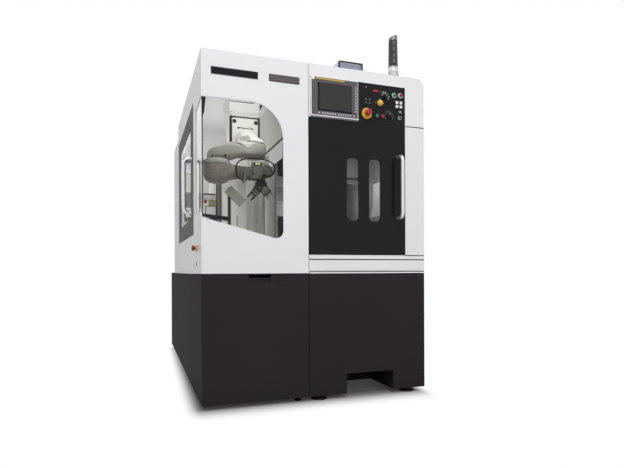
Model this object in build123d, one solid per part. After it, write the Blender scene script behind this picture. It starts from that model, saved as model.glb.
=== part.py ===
"""Vertical grinding machine with a robot loading cell on its left, as separate pieces.

All lengths are millimetres. While a piece is made, x runs right from the left side plane, y runs
back from the front plane and z runs up from the underside of the base. save() then moves it into
the part's own frame: origin on the floor under the middle of the machine, front facing -Y.
"""

from build123d import *

import math
import os

# Overall sizes
CELL_WIDTH = 583
UNIT_GAP = 3
BASE_HEIGHT = 684
HOUSING_HEIGHT = 1166
BODY_DEPTH = 1460
REAR_CABINET_DEPTH = 470
REAR_CABINET_DROP = 102
BASE_DEPTH = 2360
FOOT_HEIGHT = 25

# Sheet metal, seams and fits
SHEET = 4
BASE_WALL = 8
PANE = 6
SEAM = 2
HINGE_GAP = 7
MOVING_GAP = 0.4
PIVOT_CLEARANCE = 0.05
STEM_CLEARANCE = 0.3

# Door pivots: a pin above and below each door
PIVOT_RADIUS = 4
PIVOT_LENGTH = 9
PIVOT_FROM_FACE = 12
PIVOT_FROM_EDGE = 10

# Grinder front: lower trim, operator door, control band, top strip, right column
FRONT_DEPTH = 36
COLUMN_WIDTH = 128
CORNER_RADIUS = 52
TOP_STRIP = 66
BAND_HEIGHT = 227
BAND_STRIP = 8
BAND_LEDGE = 12
PANEL_RECESS = 2
LOWER_TRIM = 104
TRIM_GROOVE = 4
TRIM_GROOVE_HEIGHTS = (15, 77)

DOOR_THICKNESS = 30
DOOR_SKIN = 6
DOOR_FLANGE = 26
SLOT_WIDTH = 72
SLOT_HEIGHT = 359
SLOT_RADIUS = 24
SLOT_PITCH = 139
SLOT_FROM_HINGE = 262
SLOT_RISE = 375
SLOT_LAP = 12

HANDLE_LENGTH = 358
HANDLE_RADIUS = 11
HANDLE_STANDOFF = 58
HANDLE_BEND = 32
HANDLE_FROM_EDGE = 49
HANDLE_RISE = 397

# Monitor, placed from the band's lower left corner, and the switch panel beside it. A control's place
# is its height above the panel's lower edge and its distance from the panel's left edge, or from its
# right edge where that distance is negative.
MONITOR_X = 12
MONITOR_WIDTH = 286
MONITOR_HEIGHT = 222
MONITOR_PROUD = 8
MONITOR_BODY_DEPTH = 84
SCREEN_WIDTH = 202
SCREEN_HEIGHT = 152
SCREEN_X = 50
SCREEN_RISE = 43
SCREEN_RECESS = 3
SCREEN_GLASS = 2
SOFT_KEY = 9
SOFT_KEY_PROUD = 1.5
SOFT_KEY_COUNT = 13
SOFT_KEY_PITCH = 17
SIDE_KEY_COUNT = 9
SIDE_KEY_PITCH = 17
KEY_MARGIN = 20
STRIPE_LENGTH = 172
STRIPE_HEIGHT = 9
BLANK_CAP = 15
LEDGE_HEIGHT = 5
LEDGE_REACH = 8
SWITCH_PANEL_X = 301
SWITCH_PANEL_WIDTH = 306

ESTOP_PLACE = (54, 50)
ESTOP_COLLAR_RADIUS = 31
ESTOP_COLLAR_HEIGHT = 6
ESTOP_HEAD_RADIUS = 20
ESTOP_HEAD_LENGTH = 16
ESTOP_STEM_RADIUS = 9
ESTOP_STANDOFF = 18
ESTOP_TRAVEL = 6
BUTTON_RADIUS = 11
BUTTON_RING = 3
BUTTON_RING_HEIGHT = 7
BUTTON_PROUD = 6
BUTTON_TRAVEL = 4
BUTTON_STEM_RADIUS = 5
STEM_BEHIND = 16
ROUND_BUTTONS = {
    "green_ring_button": (-71, 175),
    "red_ring_button": (-30, 178),
    "green_lamp_button": (119, 41),
    "red_lamp_button": (155, 42),
}
WHITE_BUTTON = 17
WHITE_BUTTON_FIRST = (-56, 134)
WHITE_BUTTON_PITCH = (26.5, 23.5)
KNOB_STEM_RADIUS = 4
KNOB_HEIGHT = 20
KNOB_POINTER = 5
KNOBS = {
    "selector_knob": (139, 120, 17),
    "mode_dial": (175, 160, 15),
    "override_dial": (200, 51, 21),
    "key_switch": (-38, 44, 11),
}
LAMP_BAR = (113, 188, 34, 12)
PORT_COVER = (61, 123, 40, 36)
LAMP_GRID = (-32, 81, 18, 14)
FITTING_PROUD = 2

# Blank plates on the cell's front
PLATE_HEIGHT = 40
PLATE_FROM_TOP = 88
LEFT_PLATE_WIDTH = 250
LEFT_PLATE_MARGIN = 50
RIGHT_PLATE_WIDTH = 172
RIGHT_PLATE_MARGIN = 51

# Robot cell front and its window, which wraps round the left corner
FRONT_SIDE_DEPTH = 350
WINDOW_DROP = 247
WINDOW_MARGIN = 144
WINDOW_RISE_RIGHT = 180
WINDOW_RISE_CORNER = 296
WINDOW_RISE_SIDE = 339
WINDOW_SIDE_DEPTH = 262
WINDOW_TOP_RADIUS = 187
WINDOW_LOW_RADIUS = 42
WINDOW_LAP = 12
SIDE_ESTOP_Y = 195
SIDE_ESTOP_RISE = 143
SIDE_ESTOP_COLLAR_RADIUS = 22
SIDE_LATCH_Y = 222
SIDE_LATCH_RISE = 55
SIDE_LATCH_WIDTH = 12
SIDE_LATCH_HEIGHT = 22

# Left side door and its large pane with a dark border
HEADER_WIDTH = 30
HEADER_HEIGHT = 50
SILL_HEIGHT = 14
SIDE_DOOR_THICKNESS = 28
SIDE_DOOR_FLANGE = 28
SIDE_HINGE_GAP = 12
PANE_MARGIN_FRONT = 19
PANE_MARGIN_REAR = 16
PANE_MARGIN_LOW = 213
PANE_MARGIN_TOP = 108
BORDER_FRONT = 181
BORDER_REAR = 131
BORDER_LOW = 107
BORDER_TOP = 106
PANE_EDGE_GAP = 1
SIDE_HANDLE_LENGTH = 327
SIDE_HANDLE_RADIUS = 10
SIDE_HANDLE_STANDOFF = 45
SIDE_HANDLE_FROM_EDGE = 110
SIDE_HANDLE_RISE = 347

# Rear cabinet, its door and the passage behind the cell
PASSAGE_LEFT = 40
PASSAGE_RIGHT = 299
PASSAGE_RISE = 446
PASSAGE_DROP = 188
CABINET_FRAME = 24
CABINET_FRAME_WIDTH = 22
CABINET_DOOR_MARGIN = 44
CABINET_SKIN = 4
SWITCH_RADIUS = 28
SWITCH_HEIGHT = 30
SWITCH_FROM_EDGE = 70
SWITCH_RISE = 560

# Left base drawer
DRAWER_FRONT = 20
DRAWER_TRAVEL = 450
GRIP_X = 246
GRIP_WIDTH = 120
GRIP_HEIGHT = 43
GRIP_LIP = 23
GRIP_LIP_THICKNESS = 6
LOCK_FROM_RIGHT = 147
LOCK_FROM_TOP = 39
LOCK_RADIUS = 22
LOCK_PROUD = 7
LOCK_SHAFT_RADIUS = 8
LOCK_TONGUE = 24
RUNNER_WIDTH = 14
RUNNER_HEIGHT = 46
RUNNER_Z = 70
RUNNER_LENGTH = 760
TRAY_LENGTH = 640
TRAY_WALL = 3
CONTROLLER_SIZE = (400, 470, 410)

# Right base pocket and the feet
POCKET_X = 226
POCKET_WIDTH = 298
POCKET_HEIGHT = 113
POCKET_DEPTH = 300
SMALL_FOOT_RADIUS = 20
LARGE_FOOT_RADIUS = 46
FOOT_PAD = 12
FOOT_INSET = 50
LEFT_FEET_Y = (345, 440)

# Partition and its loading hatch
PARTITION = 6
PARTITION_FROM_SEAM = 17
HATCH_FRONT = 330
HATCH_WIDTH = 250
HATCH_RISE = 216
HATCH_HEIGHT = 600
HATCH_LAP = 14
HATCH_OVERLAP = 7
HATCH_DOOR = 6
RAIL_HEIGHT = 30
RAIL_WIDTH = 16
FLOOR_GAP = 2
FLOOR_SHEET = 6

# Workpiece stand
STAND_X = 220
STAND_WIDTH = 161
STAND_Y = 700
STAND_DEPTH = 160
STAND_HEIGHT = 616
STAND_SLOT_X = 37
STAND_SLOT_WIDTH = 22
STAND_SLOT_MARGIN = 68
BAR_X = 85
BAR_DROP = 111
BAR_LENGTH = 138
BAR_WIDTH = 62
BAR_THICKNESS = 8
BAR_TILT = -43.6
BAR_STANDOFF = 12
BAR_BOSS_RADIUS = 14

# Robot: first axis points forward, second and third axes are vertical as it stands
MOUNT_Y = 600
MOUNT_WIDTH = 200
MOUNT_PLATE = 20
MOUNT_BELOW_AXIS = 105
MOUNT_RIB = 12
MOUNT_RIB_DEPTH = 220
ROBOT_X = 352
ROBOT_DROP = 295
BASE_FLANGE = (170, 18, 228)
BASE_FLANGE_RISE = 21
BASE_BODY_RADIUS = 63
BASE_BODY_LENGTH = 60
TURRET_RADIUS = 60
TURRET_LENGTH = 15
SHOULDER_OFFSET = 23
SHOULDER_REACH = 170
SHOULDER_SIZE = (148, 136, 104)
SHOULDER_CHAMFER = 26
SHOULDER_SLOPE = (48, 70)
ARM_DROP = 65
ARM_THICKNESS = 93
ARM_FALL = 25
ARM_REACH = 231
ARM_SKEW = 25
ARM_SHOULDER_RADIUS = 74
ARM_ELBOW_RADIUS = 62
ARM_ROUND = 22
ELBOW_RADIUS = 84
ELBOW_HEIGHT = 144
ELBOW_ROUND = 52
ELBOW_NECK = 100
FOREARM_DROP = 72
FOREARM_RADIUS = 45
FOREARM_ROUND = 8
FOREARM_REACH = 268
WRIST_RADIUS = 38
FORK_WIDTH = 90
FORK_CHEEK = 14
FORK_LENGTH = 72
LAMP_BOX = (62, 40, 24)
FLANGE_RADIUS = 28
FLANGE_DROP = 42
GRIPPER_DISC = 10
GRIPPER_BLOCK = (64, 52, 34)
HEAD_TILT = 40
HEAD_WIDTH = 44
HEAD_START = 6
HEAD_LENGTH = 70
FINGER_LENGTH = 42
FINGER_THICKNESS = 11
FINGER_WIDTH = 30
FINGER_OPENING = 18
FINGER_TRAVEL = 7

# Cable loop in front of the wrist: corners of its route from the wrist's centre, as (x, z), and its bends
CABLE_RADIUS = 4
CABLE_FROM_AXIS = 59
CABLE_CLIP = 26
CABLE_ROUTE = ((-122, -54), (-166, -54), (-166, 80), (72, 80), (72, -24), (20, -24))
CABLE_BENDS = (43, 85, 51, 51)

# Grinding machine inside the right unit
WORK_FROM_LEFT = 367
WORK_Y = 480
BED_MARGIN = 20
BED_FRONT = 60
BED_REAR_GAP = 60
BED_HEIGHT = 60
COLUMN_SIZE = (400, 440)
COLUMN_ROOF_GAP = 110
COLUMN_Y = 760
COLUMN_CORE = 50
BEAM_LENGTH = 620
BEAM_DEPTH = 60
BEAM_HEIGHT = 350
BEAM_DROP = 60
RAIL_SECTION = 25
X_RAIL_HEIGHTS = (50, 300)
SADDLE_WIDTH = 200
SADDLE_DEPTH = 55
X_TRAVEL = 80
Z_RAIL_OFFSET = 60
Z_TRAVEL_DOWN = 60
Z_TRAVEL_UP = 80
HEAD_SIZE = (160, 80, 330)
HEAD_DROP = 50
SPINDLE_RADIUS = 55
SPINDLE_DROP = 18
SPINDLE_LENGTH = 320
WHEEL_SHAFT_RADIUS = 20
WHEEL_SHAFT_SEAT = 60
WHEEL_RADIUS = 60
WHEEL_HEIGHT = 50
WHEEL_REACH = 132
WORK_HEAD_RADIUS = 110
WORK_HEAD_DROP = 130
CHUCK_RADIUS = 100
CHUCK_HEIGHT = 48
CHUCK_SPINDLE_RADIUS = 30
CHUCK_SPINDLE_LENGTH = 100

# Roof pieces
TOWER_FROM_RIGHT = 174
TOWER_Y = 60
TOWER_BASE_RADIUS = 40
TOWER_BASE_HEIGHT = 44
TOWER_RADIUS = 30
TOWER_TOP_RADIUS = 26
TOWER_HEIGHT = 283
TOWER_SLANT = 24
ROOF_UNIT_X = 225
ROOF_UNIT_Y = 100
ROOF_UNIT_WIDTH = 155
ROOF_UNIT_DEPTH = 320
ROOF_UNIT_HEIGHT = 88
GRILLE_MARGIN = 8
GRILLE_BARS = 4
GRILLE_BAR = 5

# Places that follow from the sizes above
BODY_HEIGHT = BASE_HEIGHT + HOUSING_HEIGHT
GRINDER_X = CELL_WIDTH + UNIT_GAP
RIGHT_X = GRINDER_X + SWITCH_PANEL_X + SWITCH_PANEL_WIDTH + COLUMN_WIDTH
REAR_Y = BODY_DEPTH + REAR_CABINET_DEPTH
REAR_TOP = BODY_HEIGHT - REAR_CABINET_DROP
COLUMN_X = RIGHT_X - COLUMN_WIDTH
BAND_TOP = BODY_HEIGHT - TOP_STRIP
BAND_LOW = BAND_TOP - BAND_HEIGHT
PANEL_BACK = PANEL_RECESS + SHEET
DOOR_LEFT = CELL_WIDTH + HINGE_GAP
DOOR_RIGHT = COLUMN_X - SEAM
DOOR_LOW = BASE_HEIGHT + LOWER_TRIM + SEAM
DOOR_TOP = BAND_LOW - SEAM
HEADER_LOW = BODY_HEIGHT - SHEET - HEADER_HEIGHT
SIDE_DOOR_FRONT = FRONT_SIDE_DEPTH + SEAM
SIDE_DOOR_REAR = BODY_DEPTH - SIDE_HINGE_GAP
SIDE_DOOR_LOW = BASE_HEIGHT + SILL_HEIGHT + SEAM
SIDE_DOOR_TOP = HEADER_LOW - SEAM
SIDE_PANE_FRONT = SIDE_DOOR_FRONT + PANE_MARGIN_FRONT
SIDE_PANE_REAR = SIDE_DOOR_REAR - PANE_MARGIN_REAR
SIDE_PANE_LOW = SIDE_DOOR_LOW + PANE_MARGIN_LOW
SIDE_PANE_TOP = SIDE_DOOR_TOP - PANE_MARGIN_TOP
SIDE_GLASS_FRONT = SIDE_PANE_FRONT + BORDER_FRONT
SIDE_GLASS_REAR = SIDE_PANE_REAR - BORDER_REAR
SIDE_GLASS_LOW = SIDE_PANE_LOW + BORDER_LOW
SIDE_GLASS_TOP = SIDE_PANE_TOP - BORDER_TOP
SIDE_HANDLE_Y = SIDE_DOOR_FRONT + SIDE_HANDLE_FROM_EDGE
SIDE_HANDLE_LOW = SIDE_DOOR_LOW + SIDE_HANDLE_RISE
WINDOW_TOP = BODY_HEIGHT - WINDOW_DROP
WINDOW_RIGHT = CELL_WIDTH - WINDOW_MARGIN
WINDOW_LOW_RIGHT = BASE_HEIGHT + WINDOW_RISE_RIGHT
WINDOW_LOW_CORNER = BASE_HEIGHT + WINDOW_RISE_CORNER
WINDOW_SIDE_LOW = BASE_HEIGHT + WINDOW_RISE_SIDE
PASSAGE_LOW = BASE_HEIGHT + PASSAGE_RISE
PASSAGE_TOP = REAR_TOP - PASSAGE_DROP
LOCK_X = CELL_WIDTH - LOCK_FROM_RIGHT
LOCK_Z = BASE_HEIGHT - LOCK_FROM_TOP
HATCH_LOW = BASE_HEIGHT + HATCH_RISE
CABINET_DOOR_LEFT = GRINDER_X + CABINET_DOOR_MARGIN
CABINET_DOOR_RIGHT = RIGHT_X - CABINET_DOOR_MARGIN
CABINET_DOOR_LOW = BASE_HEIGHT + CABINET_DOOR_MARGIN
CABINET_DOOR_TOP = REAR_TOP - CABINET_DOOR_MARGIN
PARTITION_X = CELL_WIDTH - PARTITION_FROM_SEAM - PARTITION
WORK_X = GRINDER_X + WORK_FROM_LEFT
BED_TOP = BASE_HEIGHT + BED_HEIGHT
COLUMN_TOP = BODY_HEIGHT - COLUMN_ROOF_GAP
BEAM_LOW = COLUMN_TOP - BEAM_DROP - BEAM_HEIGHT
HEAD_LOW = BEAM_LOW - HEAD_DROP
SPINDLE_LOW = HEAD_LOW - SPINDLE_DROP
WHEEL_LOW = SPINDLE_LOW - WHEEL_REACH
WORK_HEAD_TOP = WHEEL_LOW - WORK_HEAD_DROP
SADDLE_FRONT = COLUMN_Y - BEAM_DEPTH - SADDLE_DEPTH
ROBOT_Z = BODY_HEIGHT - ROBOT_DROP
MOUNT_LOW = ROBOT_Z - MOUNT_BELOW_AXIS
SHOULDER_X = ROBOT_X + SHOULDER_OFFSET
SHOULDER_Y = MOUNT_Y - SHOULDER_REACH
ARM_TOP = ROBOT_Z - ARM_DROP
ARM_LOW = ARM_TOP - ARM_THICKNESS - ARM_FALL
ELBOW_X = SHOULDER_X - ARM_REACH
ELBOW_Y = SHOULDER_Y - ARM_SKEW
ELBOW_LOW = ARM_LOW - ELBOW_HEIGHT
FOREARM_Z = ARM_LOW - FOREARM_DROP
FOREARM_START = ELBOW_X + ELBOW_NECK
WRIST_X = ELBOW_X + FOREARM_REACH
FORK_ROOT = WRIST_X - FORK_LENGTH
CABLE_Y = ELBOW_Y - CABLE_FROM_AXIS
FLANGE_Z = FOREARM_Z - FLANGE_DROP
HATCH_TRAVEL = HATCH_WIDTH + HATCH_LAP + HATCH_OVERLAP
HEAD_Z = FLANGE_Z - MOVING_GAP - GRIPPER_DISC - GRIPPER_BLOCK[2] / 2

# The part's own frame: the box of the whole machine, handles included, is centred on the origin
SIDE_REACH = SIDE_HANDLE_STANDOFF + SIDE_HANDLE_RADIUS
FRONT_REACH = HANDLE_STANDOFF + HANDLE_RADIUS
LEFT_PLANE = (SIDE_REACH - RIGHT_X) / 2
FRONT_PLANE = (FRONT_REACH - BASE_DEPTH) / 2

# Pivot axes of the three doors
OPERATOR_PIVOT = (DOOR_LEFT + PIVOT_FROM_EDGE, PIVOT_FROM_FACE)
SIDE_PIVOT = (PIVOT_FROM_FACE, SIDE_DOOR_REAR - PIVOT_FROM_EDGE)
CABINET_PIVOT = (CABINET_DOOR_RIGHT - HINGE_GAP - PIVOT_FROM_EDGE, REAR_Y - PIVOT_FROM_FACE)

BOTTOM = (Align.CENTER, Align.CENTER, Align.MIN)


def in_frame(x, y, z):
    """A point of the machine in the part's own frame."""
    return (x + LEFT_PLANE, y + FRONT_PLANE, z + FOOT_HEIGHT)


def save(name, *solids):
    """Moves the solids of one node into the part's frame and writes them."""
    shape = solids[0] if len(solids) == 1 else Compound(children=list(solids))
    export_step(shape.moved(Location(in_frame(0, 0, 0))), f"parts/{name}.step")


def block(x0, x1, y0, y1, z0, z1):
    """A box between two x planes, two y planes and two z planes."""
    return Pos((x0 + x1) / 2, (y0 + y1) / 2, (z0 + z1) / 2) * Box(x1 - x0, y1 - y0, z1 - z0)


def rod_x(x0, x1, y, z, radius):
    return Plane(origin=(x0, y, z), z_dir=(1, 0, 0)) * Cylinder(radius, x1 - x0, align=BOTTOM)


def rod_y(x, y0, y1, z, radius):
    return Plane(origin=(x, y0, z), z_dir=(0, 1, 0)) * Cylinder(radius, y1 - y0, align=BOTTOM)


def rod_z(x, y, z0, z1, radius):
    return Pos(x, y, z0) * Cylinder(radius, z1 - z0, align=BOTTOM)


def front_plate(sketch, y0, y1):
    """A sketch drawn as (x, z), made solid from y0 back to y1."""
    plane = Plane(origin=(0, y1, 0), x_dir=(1, 0, 0), z_dir=(0, -1, 0))
    return extrude(plane * sketch, amount=y1 - y0)


def side_plate(sketch, x0, x1):
    """A sketch drawn as (y, z), made solid from x0 to x1."""
    plane = Plane(origin=(x0, 0, 0), x_dir=(0, 1, 0), z_dir=(1, 0, 0))
    return extrude(plane * sketch, amount=x1 - x0)


def polygon(*points):
    return make_face(Polyline(*points, close=True))


def rounded(sketch, radius, *corners):
    """The sketch with the corners nearest to the given points rounded."""
    picked = [min(sketch.vertices(), key=lambda v: math.dist((v.X, v.Y), c)) for c in corners]
    return fillet(picked, radius)


def pivot_pins(pivot, low, top):
    """The two pins that a door between two heights turns on."""
    x, y = pivot
    pins = rod_z(x, y, top, top + PIVOT_LENGTH, PIVOT_RADIUS)
    return pins + rod_z(x, y, low - PIVOT_LENGTH, low, PIVOT_RADIUS)


def pivot_bores(pivot, low, top):
    """The bores above and below that door, with the pins' running clearance."""
    x, y = pivot
    radius = PIVOT_RADIUS + PIVOT_CLEARANCE
    reach = PIVOT_LENGTH + SEAM
    return rod_z(x, y, top, top + reach, radius) + rod_z(x, y, low - reach, low, radius)


def bar_handle(start, out, along, length, standoff, bend, radius):
    """A bent bar from start, out by standoff, along by length and back to the face."""
    start, out, along = Vector(start), Vector(out), Vector(along)
    points = [start, start + out * standoff, start + out * standoff + along * length]
    points.append(start + along * length)
    path = FilletPolyline(*points, radius=bend)
    return sweep(Plane(origin=start, z_dir=out) * Circle(radius), path=path)


# Bases and feet


def cell_base():
    front = DRAWER_FRONT + SEAM
    shell = block(0, CELL_WIDTH, front, BASE_DEPTH, 0, BASE_HEIGHT)
    inside = CELL_WIDTH - BASE_WALL
    shell -= block(
        BASE_WALL, inside, 0, BASE_DEPTH - BASE_WALL, BASE_WALL, BASE_HEIGHT - BASE_WALL
    )
    low, top = RUNNER_Z, RUNNER_Z + RUNNER_HEIGHT
    end = front + RUNNER_LENGTH
    shell += block(BASE_WALL, BASE_WALL + RUNNER_WIDTH, front, end, low, top)
    shell += block(inside - RUNNER_WIDTH, inside, front, end, low, top)
    return shell


def grinder_base():
    shell = block(GRINDER_X, RIGHT_X, 0, BASE_DEPTH, 0, BASE_HEIGHT)
    hollow = block(
        GRINDER_X + BASE_WALL, RIGHT_X - BASE_WALL, BASE_WALL, BASE_DEPTH - BASE_WALL,
        BASE_WALL, BASE_HEIGHT - BASE_WALL,
    )
    left = GRINDER_X + POCKET_X
    right = left + POCKET_WIDTH
    hollow -= block(
        left - BASE_WALL, right + BASE_WALL, 0, POCKET_DEPTH + BASE_WALL, 0, POCKET_HEIGHT + BASE_WALL
    )
    return shell - hollow - block(left, right, 0, POCKET_DEPTH, 0, POCKET_HEIGHT)


def foot(x, y, radius):
    pad = rod_z(x, y, -FOOT_HEIGHT, FOOT_PAD - FOOT_HEIGHT, radius)
    return pad + rod_z(x, y, FOOT_PAD - FOOT_HEIGHT, 0, radius / 2)


def levelling_feet():
    rear = BASE_DEPTH - FOOT_INSET
    small = [(FOOT_INSET, y) for y in LEFT_FEET_Y]
    small += [(FOOT_INSET, rear), (CELL_WIDTH - FOOT_INSET, FOOT_INSET), (CELL_WIDTH - FOOT_INSET, rear)]
    columns = (GRINDER_X + FOOT_INSET + LARGE_FOOT_RADIUS / 2, RIGHT_X - FOOT_INSET - LARGE_FOOT_RADIUS)
    large = [(x, y) for x in columns for y in (FOOT_INSET, BASE_DEPTH / 2, rear)]
    feet = [foot(x, y, SMALL_FOOT_RADIUS) for x, y in small]
    return feet + [foot(x, y, LARGE_FOOT_RADIUS) for x, y in large]


def base_drawer():
    """Full front panel with its grip notch, and the tray on runners behind it."""
    top = BASE_HEIGHT - SEAM
    front = block(0, CELL_WIDTH, 0, DRAWER_FRONT, SEAM, top)
    grip_right = GRIP_X + GRIP_WIDTH
    grip_low = BASE_HEIGHT - GRIP_HEIGHT
    front -= block(GRIP_X, grip_right, 0, DRAWER_FRONT, grip_low, BASE_HEIGHT)
    front += block(
        GRIP_X, grip_right, DRAWER_FRONT - GRIP_LIP_THICKNESS, DRAWER_FRONT, grip_low, grip_low + GRIP_LIP
    )
    front -= rod_y(LOCK_X, 0, DRAWER_FRONT, LOCK_Z, LOCK_SHAFT_RADIUS + PIVOT_CLEARANCE)
    outer = BASE_WALL + RUNNER_WIDTH + MOVING_GAP
    end = DRAWER_FRONT + TRAY_LENGTH
    low, high = RUNNER_Z, RUNNER_Z + RUNNER_HEIGHT
    tray = block(outer, CELL_WIDTH - outer, DRAWER_FRONT, end, low, high)
    inner, wall = outer + TRAY_WALL, TRAY_WALL
    return front + tray - block(inner, CELL_WIDTH - inner, DRAWER_FRONT, end - wall, low + wall, high)


def robot_controller():
    width, depth, height = CONTROLLER_SIZE
    left = (CELL_WIDTH - width) / 2
    front = DRAWER_FRONT + (TRAY_LENGTH - depth) / 2
    low = RUNNER_Z + TRAY_WALL
    box = block(left, left + width, front, front + depth, low, low + height)
    wall = TRAY_WALL
    return box - block(
        left + wall, left + width - wall, front + wall, front + depth, low + wall, low + height - wall
    )


def drawer_lock():
    """Round lock on the drawer front, its shaft and the tongue behind."""
    lock = rod_y(LOCK_X, -LOCK_PROUD, -MOVING_GAP, LOCK_Z, LOCK_RADIUS)
    back = DRAWER_FRONT + SEAM
    lock += rod_y(LOCK_X, -MOVING_GAP, back, LOCK_Z, LOCK_SHAFT_RADIUS)
    half = LOCK_SHAFT_RADIUS
    start, top = DRAWER_FRONT + MOVING_GAP, LOCK_Z + LOCK_TONGUE
    return lock + block(LOCK_X - half, LOCK_X + half, start, back + SHEET, LOCK_Z - half, top)


# Robot cell enclosure


def front_window():
    """The window opening in the cell's front, drawn as (x, z), open to the left corner."""
    top_right, low_right = (WINDOW_RIGHT, WINDOW_TOP), (WINDOW_RIGHT, WINDOW_LOW_RIGHT)
    outline = polygon((0, WINDOW_LOW_CORNER), low_right, top_right, (0, WINDOW_TOP))
    outline = rounded(outline, WINDOW_TOP_RADIUS, top_right)
    return rounded(outline, WINDOW_LOW_RADIUS, low_right)


def side_window_opening():
    """The same window on the left side, drawn as (y, z)."""
    return polygon(
        (0, WINDOW_LOW_CORNER), (WINDOW_SIDE_DEPTH, WINDOW_SIDE_LOW),
        (WINDOW_SIDE_DEPTH, WINDOW_TOP), (0, WINDOW_TOP),
    )


def cell_front_panel():
    low = BASE_HEIGHT + SEAM
    panel = block(0, CELL_WIDTH, 0, SHEET, low, BODY_HEIGHT)
    panel += block(0, SHEET, 0, FRONT_SIDE_DEPTH, low, BODY_HEIGHT - SHEET)
    panel -= front_plate(front_window(), 0, SHEET)
    panel -= side_plate(side_window_opening(), 0, SHEET)
    y, z = SIDE_ESTOP_Y, BASE_HEIGHT + SIDE_ESTOP_RISE
    return panel - rod_x(0, SHEET, y, z, ESTOP_STEM_RADIUS + STEM_CLEARANCE)


def cell_windows():
    """The pane behind the wrapped opening, and the pane at the end of the rear passage."""
    lap = WINDOW_LAP
    deep = SHEET + PANE
    front = front_plate(offset(front_window(), lap), SHEET, deep)
    side = side_plate(offset(side_window_opening(), lap), SHEET, deep)
    reach = WINDOW_RIGHT + lap
    keep = block(SHEET, reach, SHEET, WINDOW_SIDE_DEPTH + lap, 0, BODY_HEIGHT)
    corner = (front + side) & keep
    rear = block(
        PASSAGE_LEFT, PASSAGE_RIGHT, REAR_Y - SHEET - PANE, REAR_Y - SHEET, PASSAGE_LOW, PASSAGE_TOP
    )
    return [corner, rear]


def cell_roof():
    roof = block(0, CELL_WIDTH, SHEET, BODY_DEPTH, BODY_HEIGHT - SHEET, BODY_HEIGHT)
    under = BODY_HEIGHT - SHEET
    roof += block(0, HEADER_WIDTH, SIDE_DOOR_FRONT, BODY_DEPTH, HEADER_LOW, under)
    roof += block(0, CELL_WIDTH, BODY_DEPTH - SHEET, BODY_DEPTH, REAR_TOP, under)
    return roof - pivot_bores(SIDE_PIVOT, SIDE_DOOR_LOW, SIDE_DOOR_TOP)


def cell_floor():
    low = BASE_HEIGHT + FLOOR_GAP
    floor = block(SHEET, PARTITION_X, SHEET, BODY_DEPTH, low, low + FLOOR_SHEET)
    sill = block(
        0, HEADER_WIDTH, SIDE_DOOR_FRONT, BODY_DEPTH - MOVING_GAP, BASE_HEIGHT, BASE_HEIGHT + SILL_HEIGHT
    )
    return floor + sill - pivot_bores(SIDE_PIVOT, SIDE_DOOR_LOW, SIDE_DOOR_TOP)


def partition():
    """Wall with the loading hatch, and the two grooved rails that its door slides in."""
    under = BODY_HEIGHT - SHEET
    wall = block(PARTITION_X, PARTITION_X + PARTITION, SHEET, BODY_DEPTH - SHEET, BASE_HEIGHT, under)
    hatch_end = HATCH_FRONT + HATCH_WIDTH
    hatch_top = HATCH_LOW + HATCH_HEIGHT
    wall -= block(
        PARTITION_X, PARTITION_X + PARTITION, HATCH_FRONT, hatch_end, HATCH_LOW, hatch_top
    )
    rail_end = hatch_end + HATCH_WIDTH + 3 * HATCH_LAP
    for low in (HATCH_LOW - RAIL_HEIGHT, hatch_top):
        wall += block(
            PARTITION_X - RAIL_WIDTH, PARTITION_X, HATCH_FRONT - HATCH_LAP, rail_end, low, low + RAIL_HEIGHT
        )
    return wall - hatch_space(MOVING_GAP, HATCH_FRONT - HATCH_LAP, rail_end)


def hatch_space(gap, front, rear):
    """The room that the hatch door fills between its rails, widened by gap."""
    middle = PARTITION_X - RAIL_WIDTH / 2
    low = HATCH_LOW - HATCH_LAP - gap
    top = HATCH_LOW + HATCH_HEIGHT + HATCH_LAP + gap
    half = HATCH_DOOR / 2 + gap
    return block(middle - half, middle + half, front, rear, low, top)


def hatch_door():
    """The sliding door, drawn back clear of the hatch."""
    front = HATCH_FRONT + HATCH_WIDTH + HATCH_LAP
    return hatch_space(0, front, front + HATCH_WIDTH + 2 * HATCH_OVERLAP)


def side_door():
    """White door panel, hollow behind, with a rebate for its pane and pivots at its rear edge."""
    thick = SIDE_DOOR_THICKNESS
    door = block(0, thick, SIDE_DOOR_FRONT, SIDE_DOOR_REAR, SIDE_DOOR_LOW, SIDE_DOOR_TOP)
    wall = SIDE_DOOR_FLANGE
    hollow = block(
        PANE + SHEET, thick, SIDE_DOOR_FRONT + wall, SIDE_DOOR_REAR - wall,
        SIDE_DOOR_LOW + wall, SIDE_DOOR_TOP - wall,
    )
    hollow -= block(
        0, thick, SIDE_GLASS_FRONT - wall, SIDE_GLASS_REAR + wall,
        SIDE_GLASS_LOW - wall, SIDE_GLASS_TOP + wall,
    )
    door -= hollow
    door -= block(0, PANE, SIDE_PANE_FRONT, SIDE_PANE_REAR, SIDE_PANE_LOW, SIDE_PANE_TOP)
    door -= block(0, thick, SIDE_GLASS_FRONT, SIDE_GLASS_REAR, SIDE_GLASS_LOW, SIDE_GLASS_TOP)
    return door + pivot_pins(SIDE_PIVOT, SIDE_DOOR_LOW, SIDE_DOOR_TOP)


def side_window():
    edge = PANE_EDGE_GAP
    return block(
        0, PANE, SIDE_PANE_FRONT + edge, SIDE_PANE_REAR - edge, SIDE_PANE_LOW + edge, SIDE_PANE_TOP - edge
    )


def side_door_handle():
    start = (0, SIDE_HANDLE_Y, SIDE_HANDLE_LOW)
    return bar_handle(
        start, (-1, 0, 0), (0, 0, 1),
        SIDE_HANDLE_LENGTH, SIDE_HANDLE_STANDOFF, HANDLE_BEND, SIDE_HANDLE_RADIUS,
    )


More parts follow.
